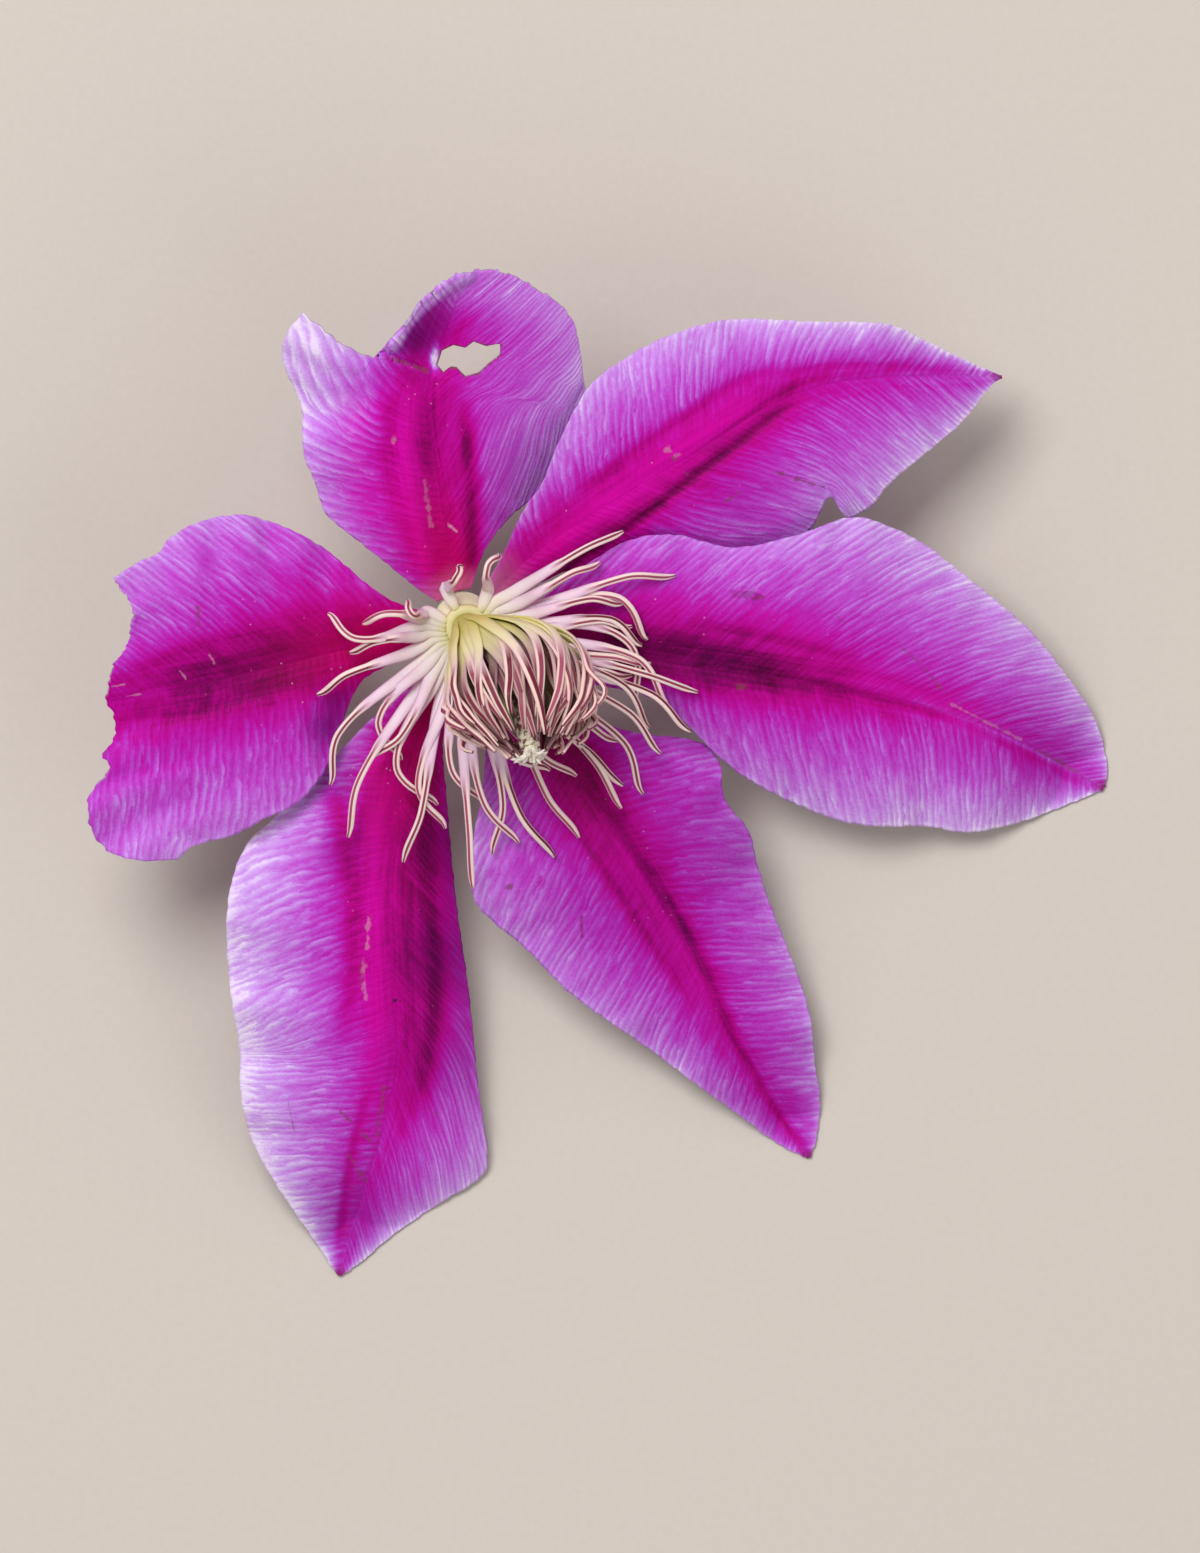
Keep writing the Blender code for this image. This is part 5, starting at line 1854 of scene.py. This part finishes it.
TEPAL_UPPER_RIGHT = Tepal(
    "tepal_upper_right",
    midrib=((2.7, 2.2, 0), (8, 7.5, 1.2), (16, 13, 2), (24.5, 18, 2.2), (32.5, 23, 1.4), (40, 26.4, 0),
            (49, 27.6, -2.6), (61, 27.5, -7.5)),
    left=((1.9, 3, 0), (4.6, 7.6, 1.6), (6.6, 12, 2.8), (9, 15.6, 3.4), (10.6, 19.6, 3.6),
          (14, 26, 3.4), (18.5, 29.6, 1.4), (23.5, 32.1, 2.2), (30, 33.8, 0.2), (39.5, 33.6, -0.6),
          (47.5, 33.4, -2.4), (51.5, 31.8, -4.2), (57, 29.2, -6), (61, 27.5, -7.5)),
    right=((3.5, 1.4, 0), (8.5, 4.2, -0.2), (14, 6, -0.6), (22, 7.2, -0.8), (31, 6.6, -1),
           (36, 7.4, -1.2), (39.2, 10.4, -1), (41.3, 14, -0.6), (43.3, 11.6, -1.8), (46, 13, -1.6),
           (48.2, 15.6, -1.8), (52.5, 19.2, -3), (56.2, 22.4, -4.6), (59.4, 26.4, -6.6),
           (61, 27.5, -7.5)),
    seed=22,
    complexion=Complexion(
        left_bar=(2.6, 4.0, 3.6, 1.8, 0.5), right_bar=(2.4, 4.6, 3.8, 1.8, 0.5),
        core=(0.38, 0.26, 0.25, 0.38, 0.66),
        left_margin=(0.62, 0.80, 0.86, 0.94, 0.92), right_margin=(0.48, 0.56, 0.74, 0.92, 0.92),
        veins=(
            Vein(((10, 5.6), (18, 11.4), (26, 17.4), (34, 23.4), (39, 26.2)), 1.9, 0.15, 0.6, -0.05),
            Vein(((8, 6.2), (14, 11.6), (20, 16), (26, 20.2), (31, 23.6), (36, 26.8)),
                 1.7, 0.30, 0.3, 0.26, 0.9),
            Vein(((8.5, 3.2), (13, 6.6), (18, 10), (22, 13), (27, 17), (31, 20),
                  (35.5, 23.4), (40, 26)), 0.55, 0.03, 0.9, -0.30),
            Vein(((13, 13.8), (19, 18.6), (25, 22.8), (31, 26.8), (37, 28.8)), 0.8, 0.16, 0.6, -0.20),
            Vein(((25, 17.9), (31, 22.2), (36, 25.8), (42, 28.2)), 0.4, 0.12, 0.6, -0.12),
            Vein(((35, 27.6), (41, 28.5), (48, 28.6), (58, 27.9)), 0.5, 0.26, 0.6, -0.12),
        ),
        feather=(1.1, 1.8), claw=0.45, foot=0.4,
        painted_shade_spots=((16, 7.2, 3.4, 0.18), (30, 12.5, 6, 0.12)),
        marks=(
            Mark(SCRATCH, (29.6, 13.4), (31, 14.3), 0.15, 0.7),
            Mark(SCAR, (22.9, 19.2), (24.1, 18.6), 0.30, 0.4),
            Mark(SCRATCH, (23.2, 18.6), (23.9, 18), 0.16, 0.6),
            Mark(SCRATCH, (24.6, 17), (25.3, 16.4), 0.15, 0.5),
            Mark(SCRATCH, (34.9, 16.8), (37.2, 16), 0.14, 0.6),
            Mark(SCRATCH, (37.2, 16), (40.6, 15), 0.16, 0.65),
        ),
    ),
)

TEPAL_RIGHT = Tepal(
    "tepal_right",
    midrib=((3.4, -0.8, 0), (9, -2, 1.4), (16, -3.5, 2.4), (27.5, -5.5, 3), (39.5, -7.2, 2.2),
            (52, -9.6, -0.6), (60.5, -12.6, -3.6), (66.5, -15.6, -6.8), (72.7, -19, -10.6)),
    left=((3.6, 0.4, 0), (7.6, 1.8, 1.2), (11, 4, 2.4), (15, 7, 3), (19, 9.1, 3), (24, 9.6, 2.6),
          (30.5, 8.2, 2.4), (37.5, 9.6, 2.8), (43.5, 11.6, 1.4), (47.5, 10.8, 0.8), (52, 8.6, -0.8),
          (56.5, 5.2, -1.6), (60.5, 2, -2.8), (64.5, -1.6, -3.8), (68.5, -6.6, -5.4),
          (71.4, -11, -6.8), (72.8, -15.8, -8), (72.7, -19, -10.6)),
    right=((3.2, -2, 0), (8, -4.2, 0.8), (13.5, -6.8, 1.2), (20.4, -8.4, 1), (24.5, -11, 0.8),
           (28.5, -15, 0.2), (33, -18.4, -0.6), (41, -22.1, -1.8), (46.5, -23.2, -1.6),
           (52, -23.2, -3.2), (57, -23.9, -3.6), (62, -23, -5.4), (66.5, -21.5, -6.8),
           (72.7, -19, -10.6)),
    seed=23,
    complexion=Complexion(
        left_bar=(3.0, 5.4, 4.8, 2.4, 0.6), right_bar=(1.6, 2.8, 3.2, 1.8, 0.6),
        core=(0.13, 0.12, 0.20, 0.42, 0.56),
        left_margin=(0.60, 0.68, 0.84, 0.90, 0.82), right_margin=(0.52, 0.66, 0.84, 0.94, 0.88),
        veins=(
            Vein(((15, -2.6), (20, -3.4), (27, -4.2), (33, -5.6), (40, -7.6)), 1.9, 0.02, 0.8, -0.28),
            Vein(((20, 1), (28, 0.8), (36, -0.4), (44, -3.2)), 1.8, 0.30, 0.3, 0.10, 0.22),
            Vein(((26, -0.6), (33, -1.6), (40, -3.2), (46, -5.4)), 0.7, 0.12, 0.6, -0.16),
            Vein(((37, -6.6), (44, -8), (51, -9.9), (57, -11.6)), 0.6, 0.10, 0.75, -0.16),
            Vein(((41, -5.6), (48, -6.7), (55, -9)), 0.5, 0.14, 0.6, -0.10),
            Vein(((44, -6), (50, -8), (56, -10.4), (61, -12.8)), 1.6, 0.44, 0.35, 0.08, 0.35),
            Vein(((50, -8.6), (57, -11.2), (64, -14.6), (71, -18.2)), 0.3, 0.66, 0.55, 0.08),
            Vein(((60, -13.4), (65, -15.8), (71, -19)), 0.5, 0.24, 0.5, -0.08),
        ),
        feather=(1.8, 0.8), claw=0.5,
        painted_shade_spots=((17, -3, 5, 0.36), (28, -4, 6, 0.22), (66, -15.5, 7, 0.20)),
        marks=(
            Mark(BRUISE, (31, 3.2), (33, 2.4), 0.55, 0.45),
            Mark(SCRATCH, (32.6, 2.4), (33.8, 2.6), 0.16, 0.45),
            Mark(SCRATCH, (49, -2.5), (51.6, -5), 0.17, 0.5),
            Mark(SCRATCH, (51.6, -5), (53.9, -7.7), 0.16, 0.5),
            Mark(SCRATCH, (30.9, -7.3), (31.4, -7.5), 0.34, 0.6),
            Mark(SCAR, (55, -9.4), (63, -13.4), 0.14, 0.35),
            Mark(SCRATCH, (65, -14.6), (71, -18), 0.20, 0.45),
            Mark(SCRATCH, (41.8, 0.8), (43, -0.2), 0.12, 0.35),
        ),
    ),
)

TEPAL_LOWER_RIGHT = Tepal(
    "tepal_lower_right",
    midrib=((2, -2.8, 0), (5.5, -7.5, 0.8), (11, -14, 1.4), (16, -21.5, 1.8), (21, -29, 1.8),
            (25, -36.5, 1.6), (29.5, -45.5, 1), (34.5, -53.4, -0.4), (39.2, -61, -4.4)),
    left=((3.1, -2.4, 0), (7.5, -6.4, -0.6), (13, -10.4, -1.2), (19, -12.6, -1.4), (26.2, -13.6, -1.8),
          (28.9, -16, -1), (29.4, -20, 0.4), (32.2, -23.8, 0.6), (33, -27, -0.2), (34.6, -32, 0.6),
          (37.6, -39.6, 0), (39.2, -45, 0.8), (39.7, -50, -0.2), (40.3, -54.2, -0.8),
          (40, -58.2, -1.8), (39.2, -61, -4.4)),
    right=((1.1, -3.4, 0), (2.4, -8, 0), (2.6, -14, 0.2), (2, -20, 0.6), (1, -25, 1.8),
           (0.6, -28.4, 2.2), (1.4, -31.8, 1.2), (3.6, -34.2, 0), (7, -37, -0.4), (11.5, -41.6, 0.6),
           (16, -45, 0.8), (21, -48.4, 0), (26, -52.2, 0.4), (31, -55.8, -0.4), (35.4, -59.1, -1.4),
           (39.2, -61, -4.4)),
    seed=24,
    complexion=Complexion(
        left_bar=(2.0, 2.8, 2.6, 1.4, 0.5), right_bar=(2.5, 4.4, 3.8, 2.2, 0.6),
        core=(0.12, 0.16, 0.23, 0.36, 0.56),
        left_margin=(0.50, 0.56, 0.66, 0.78, 0.74), right_margin=(0.50, 0.78, 0.74, 0.80, 0.72),
        veins=(
            Vein(((13, -15), (17, -22.8), (21, -28.8), (25, -35), (28, -41), (31, -48),
                  (35, -55.5)), 0.7, 0.06, 0.8, -0.24),
            Vein(((11, -19), (15, -27), (19, -33), (23, -39), (27, -45)), 0.7, 0.12, 0.6, -0.18),
            Vein(((16, -22), (20, -30), (24.5, -37), (29, -45)), 1.2, 0.30, 0.3, 0.16, 0.35),
            Vein(((31, -48), (35, -55), (39.2, -60.6)), 0.5, 0.14, 0.75, -0.12),
        ),
        feather=(0.8, 1.2), claw=0.5, claw_reach=0.45,
        painted_shade_spots=((10, -14, 6, 0.28), (30, -24, 8, 0.28), (22, -34, 9, 0.22),
               (34, -52, 11, 0.20), (12, -34, 6, 0.12)),
        marks=(
            Mark(SCRATCH, (4.9, -29.9), (5.2, -30.1), 0.32, 0.65),
            Mark(BRUISE, (13.9, -25.8), (14.5, -26.8), 0.4, 0.4),
            Mark(BRUISE, (13.3, -33.4), (13.4, -35.8), 0.17, 0.5),
        ),
    ),
)

TEPAL_BOTTOM = Tepal(
    "tepal_bottom",
    midrib=((-0.4, -3.4, 0), (-2.6, -8.5, 0.6), (-6, -15.5, 1.4), (-8.2, -28, 2.2), (-8, -41, 2),
            (-7.6, -50, 0.8), (-9.5, -58.6, -1.4), (-12, -66.4, -4.6), (-14.2, -74.4, -7.8)),
    left=((0.8, -3.4, 0), (-0.5, -8, -0.6), (-2.2, -13, -1.2), (-2, -19.5, -1.8), (-1, -31, -2.8),
          (0.5, -42, -3), (1.6, -53, -2.8), (2.6, -60.2, -3.4), (1.8, -63, -3.8), (-2.6, -65.8, -4),
          (-8, -69.5, -4.4), (-11.4, -72.4, -5.2), (-14.2, -74.4, -7.8)),
    right=((-1.6, -3.2, 0), (-6, -7.5, -0.8), (-11, -11.8, -1.4), (-16.5, -17.5, -1.8),
           (-20.5, -21.6, -1.6), (-24.2, -25, -0.6), (-26, -29, 1.2), (-26.7, -33.5, 2),
           (-26.6, -38.5, 0.2), (-26.1, -43.5, 1.4), (-25.3, -48.5, -0.6), (-25.2, -53.5, 0.4),
           (-24, -58.6, -1.6), (-21.6, -63.2, -2), (-19, -67.2, -3.6), (-16.4, -71, -4.6),
           (-14.2, -74.4, -7.8)),
    seed=25,
    complexion=Complexion(
        left_bar=(2.0, 4.4, 5.0, 2.2, 0.5), right_bar=(2.5, 5.0, 4.2, 1.7, 0.5),
        core=(0.14, 0.18, 0.21, 0.38, 0.54),
        left_margin=(0.38, 0.36, 0.48, 0.86, 0.94), right_margin=(0.66, 0.92, 0.96, 1.0, 1.0),
        veins=(
            Vein(((-15.4, -17), (-13.6, -24), (-12.6, -30), (-12.4, -36), (-12.8, -42), (-13.8, -50)),
                 1.2, 0.10, 0.6, -0.26),
            Vein(((-2.6, -11), (-4.4, -20), (-4.2, -28), (-3.4, -35), (-3.2, -42), (-4.4, -51),
                  (-8, -60)), 1.5, 0.03, 0.8, -0.28),
            Vein(((-6.6, -22), (-6.2, -34), (-6, -44), (-8, -54)), 0.6, 0.12, 0.55, -0.10),
            Vein(((-7.6, -13), (-9.3, -20), (-10.1, -26), (-9.9, -33), (-9.8, -40), (-10, -48),
                  (-12, -58)), 1.5, 0.30, 0.3, 0.30, 0.65),
            Vein(((-10.6, -52), (-12.6, -60), (-13.6, -66), (-14.2, -72.6)), 0.6, 0.18, 0.7, -0.14),
        ),
        feather=(2.4, 0.6), claw=0.8, claw_reach=0.45,
        painted_shade_spots=((-16.2, -17, 3.4, 0.42), (-13.4, -26, 3.2, 0.30), (-2.6, -38, 4.4, 0.42),
               (-3.2, -25, 3.6, 0.34), (-3.4, -50, 5, 0.24), (-13, -68, 6, 0.32)),
        marks=(
            Mark(SCAR, (-10.7, -33.4), (-10.9, -37), 0.22, 0.45),
            Mark(SCAR, (-11.3, -38), (-11.1, -42.6), 0.24, 0.4),
            Mark(SCRATCH, (-11.4, -38.4), (-11.6, -41), 0.14, 0.5),
            Mark(SPECK, (-7.6, -42.9), (-7.2, -43), 0.30, 0.95),
            Mark(SCRATCH, (-9, -52.7), (-9.9, -58.9), 0.16, 0.55),
            Mark(SCRATCH, (-13.9, -55.5), (-9.6, -59.8), 0.16, 0.55),
            Mark(SCRATCH, (-13, -60.4), (-11.1, -63.5), 0.16, 0.55),
            Mark(SCRATCH, (-16.9, -53.4), (-15.9, -54), 0.22, 0.5),
            Mark(SCRATCH, (-19.8, -54.5), (-19.2, -57.6), 0.10, 0.4),
            Mark(SCRATCH, (-3.9, -55.3), (-3.1, -55.8), 0.26, 0.5),
        ),
    ),
)

TEPAL_LEFT = Tepal(
    "tepal_left",
    midrib=((-3.4, -0.6, 0), (-9, -2.2, 1), (-17, -4.2, 1.8), (-28, -6.8, 2.4), (-40, -9, 3.8)),
    left=((-3.2, -1.8, 0), (-8.2, -4.8, 0.6), (-11.4, -6.8, 0.9), (-13.2, -10.2, 1),
          (-14.4, -14.4, 1.4), (-16.8, -18.6, 2.2), (-19.4, -21, 2.4), (-22.5, -22.4, 2.8),
          (-26, -24.2, 2.2), (-30.4, -25.4, 3), (-32.2, -26.9, 3.4)),
    right=((-3.4, 0.6, 0), (-8, 2.2, 0.8), (-11.2, 4.4, 1.4), (-15, 7.6, 1), (-18.6, 9.8, 2.2),
           (-21.5, 11, 1.6), (-24.6, 11.8, 2.8), (-28, 11.5, 1.8), (-31, 10.4, 2.8), (-33.2, 9, 2.4),
           (-34.2, 7.6, 2.6), (-37, 6.2, 3.6), (-39.4, 4.6, 4.4)),
    torn=((-32.2, -26.9, 3.4), (-37.4, -26.9, 4.4), (-40.9, -25.2, 3.4), (-42.2, -21.6, 4.8),
          (-41.8, -19.4, 3.6), (-39.6, -16.6, 3.8), (-40.6, -15.3, 3.6), (-39.2, -13.4, 2.8),
          (-39.3, -10.8, 3.2), (-40, -9, 3.8), (-39.4, -5.6, 4.2), (-37.6, -2.4, 3.2),
          (-37.1, 0.6, 3.8), (-37.6, 2.4, 3.6), (-39.4, 4.6, 4.4)),
    torn_reach=7.0,
    seed=26,
    complexion=Complexion(
        left_bar=(2.2, 4.0, 4.4, 4.8, 5.0), right_bar=(2.2, 5.6, 6.4, 4.6, 3.4),
        core=(0.20, 0.14, 0.11, 0.15, 0.26),
        left_margin=(0.40, 0.46, 0.62, 0.74, 0.82), right_margin=(0.46, 0.54, 0.70, 0.74, 0.78),
        veins=(
            Vein(((-16, -3.2), (-22, -5), (-28, -7.4), (-34, -9.6)), 2.4, 0.10, 0.5, -0.10),
            Vein(((-22, -7.6), (-30, -10.4), (-38.4, -11.4)), 0.7, 0.09, 0.5, -0.14),
            Vein(((-22, -1.4), (-30, -3), (-38, -6)), 0.8, 0.13, 0.5, -0.10),
            # A paler ridge over the torn end, partly painted highlight.
            Vein(((-33, -8), (-36, -8.4), (-40, -7.4)), 0.8, 0.40, 0.5, 0.10),
            Vein(((-34, -10.6), (-37, -12.4), (-40, -14)), 0.8, 0.42, 0.4, 0.08),
            Vein(((-22, 3), (-23.4, 7), (-23.8, 11.5)), 1, 0.70, 0.5, 0.20),
        ),
        feather=(0.35, 1.2), claw=0.9, claw_reach=0.75,
        painted_shade_spots=((-15.4, -12, 2.4, 0.55), (-14.6, -8.6, 2, 0.35), (-24, -6.5, 7, 0.16),
               (-33, -9, 6, 0.10)),
        marks=(
            Mark(SCRATCH, (-29.8, 1.4), (-29.6, -1.2), 0.16, 0.6),
            # The next two pale marks are painted highlights at the torn end, not scars.
            Mark(SCAR, (-39.4, -7.5), (-38, -7.3), 0.12, 0.6),
            Mark(SCAR, (-37.8, -8.6), (-36, -8.3), 0.10, 0.5),
            Mark(SCAR, (-28.5, -4), (-28, -4.8), 0.12, 0.5),
            Mark(SCAR, (-31.8, -5.8), (-31.2, -6.6), 0.12, 0.5),
            Mark(SCRATCH, (-40.9, -15.4), (-40.4, -15.2), 0.4, 0.6),
        ),
    ),
)

TEPALS = (TEPAL_TOP, TEPAL_UPPER_RIGHT, TEPAL_RIGHT, TEPAL_LOWER_RIGHT, TEPAL_BOTTOM, TEPAL_LEFT)

# Each outer stamen's leaving and ending bearing, its reach from the heart, and how far it arches to
# the left of its heading. The last twelve stand between those of the solids.
OUTER_RUNS = (
    (188, 177, 15.7, 1.2), (212, 207, 18.8, -0.9), (224, 231, 24.4, -1.4), (237, 242, 28.0, -0.8),
    (231, 246, 18.0, -1.9), (245, 262, 22.0, -2.3), (254, 256, 28.4, 0.8), (259, 265, 24.4, -2.0),
    (269, 272, 30.3, 0.3), (274, 284, 26.2, -0.9), (281, 277, 26.9, 1.0), (286, 291, 28.9, -0.8),
    (299, 298, 28.1, -0.9), (307, 314, 26.2, 0.8), (312, 310, 27.9, 0.6), (320, 316, 28.8, 1.6),
    (328, 326, 27.3, 1.2), (336, 330, 24.8, 1.4), (333, 334, 29.2, 1.6), (346, 338, 25.5, 1.7),
    (342, 343, 27.7, 0.3), (359, 334, 22.6, 2.0), (355, 352, 21.0, 1.6), (368, 354, 21.7, 2.0),
    (370, 372, 24.8, 1.0), (389, 389, 20.7, 0.3), (408, 422, 9.0, 1.2), (480, 450, 6.5, -1.0),
    (526, 520, 7.0, 0.8), (324, 342, 20.5, 1.2), (338, 347, 22.0, 0.8), (350, 358, 19.5, 1.2),
    (363, 366, 18.5, 1.0), (376, 383, 17.0, 0.7), (308, 322, 22.5, 1.0), (300, 306, 22.0, -0.8),
    (290, 300, 20.0, -1.2), (264, 276, 21.0, -1.2), (240, 236, 19.0, 0.8), (200, 196, 13.5, -0.6),
    (178, 182, 11.5, -0.5),
)


def main() -> None:
    """Builds the studio and every piece of the bloom."""
    logging.basicConfig(level=logging.INFO, format="%(name)s: %(message)s")
    Studio().build()
    Stalk().build()
    for tepal in TEPALS:
        tepal.build()
    OuterStamens(OUTER_RUNS).build()
    column = Column()
    InnerStamens(column).build()
    Pistil(column).build()


if __name__ == "__main__":
    main()
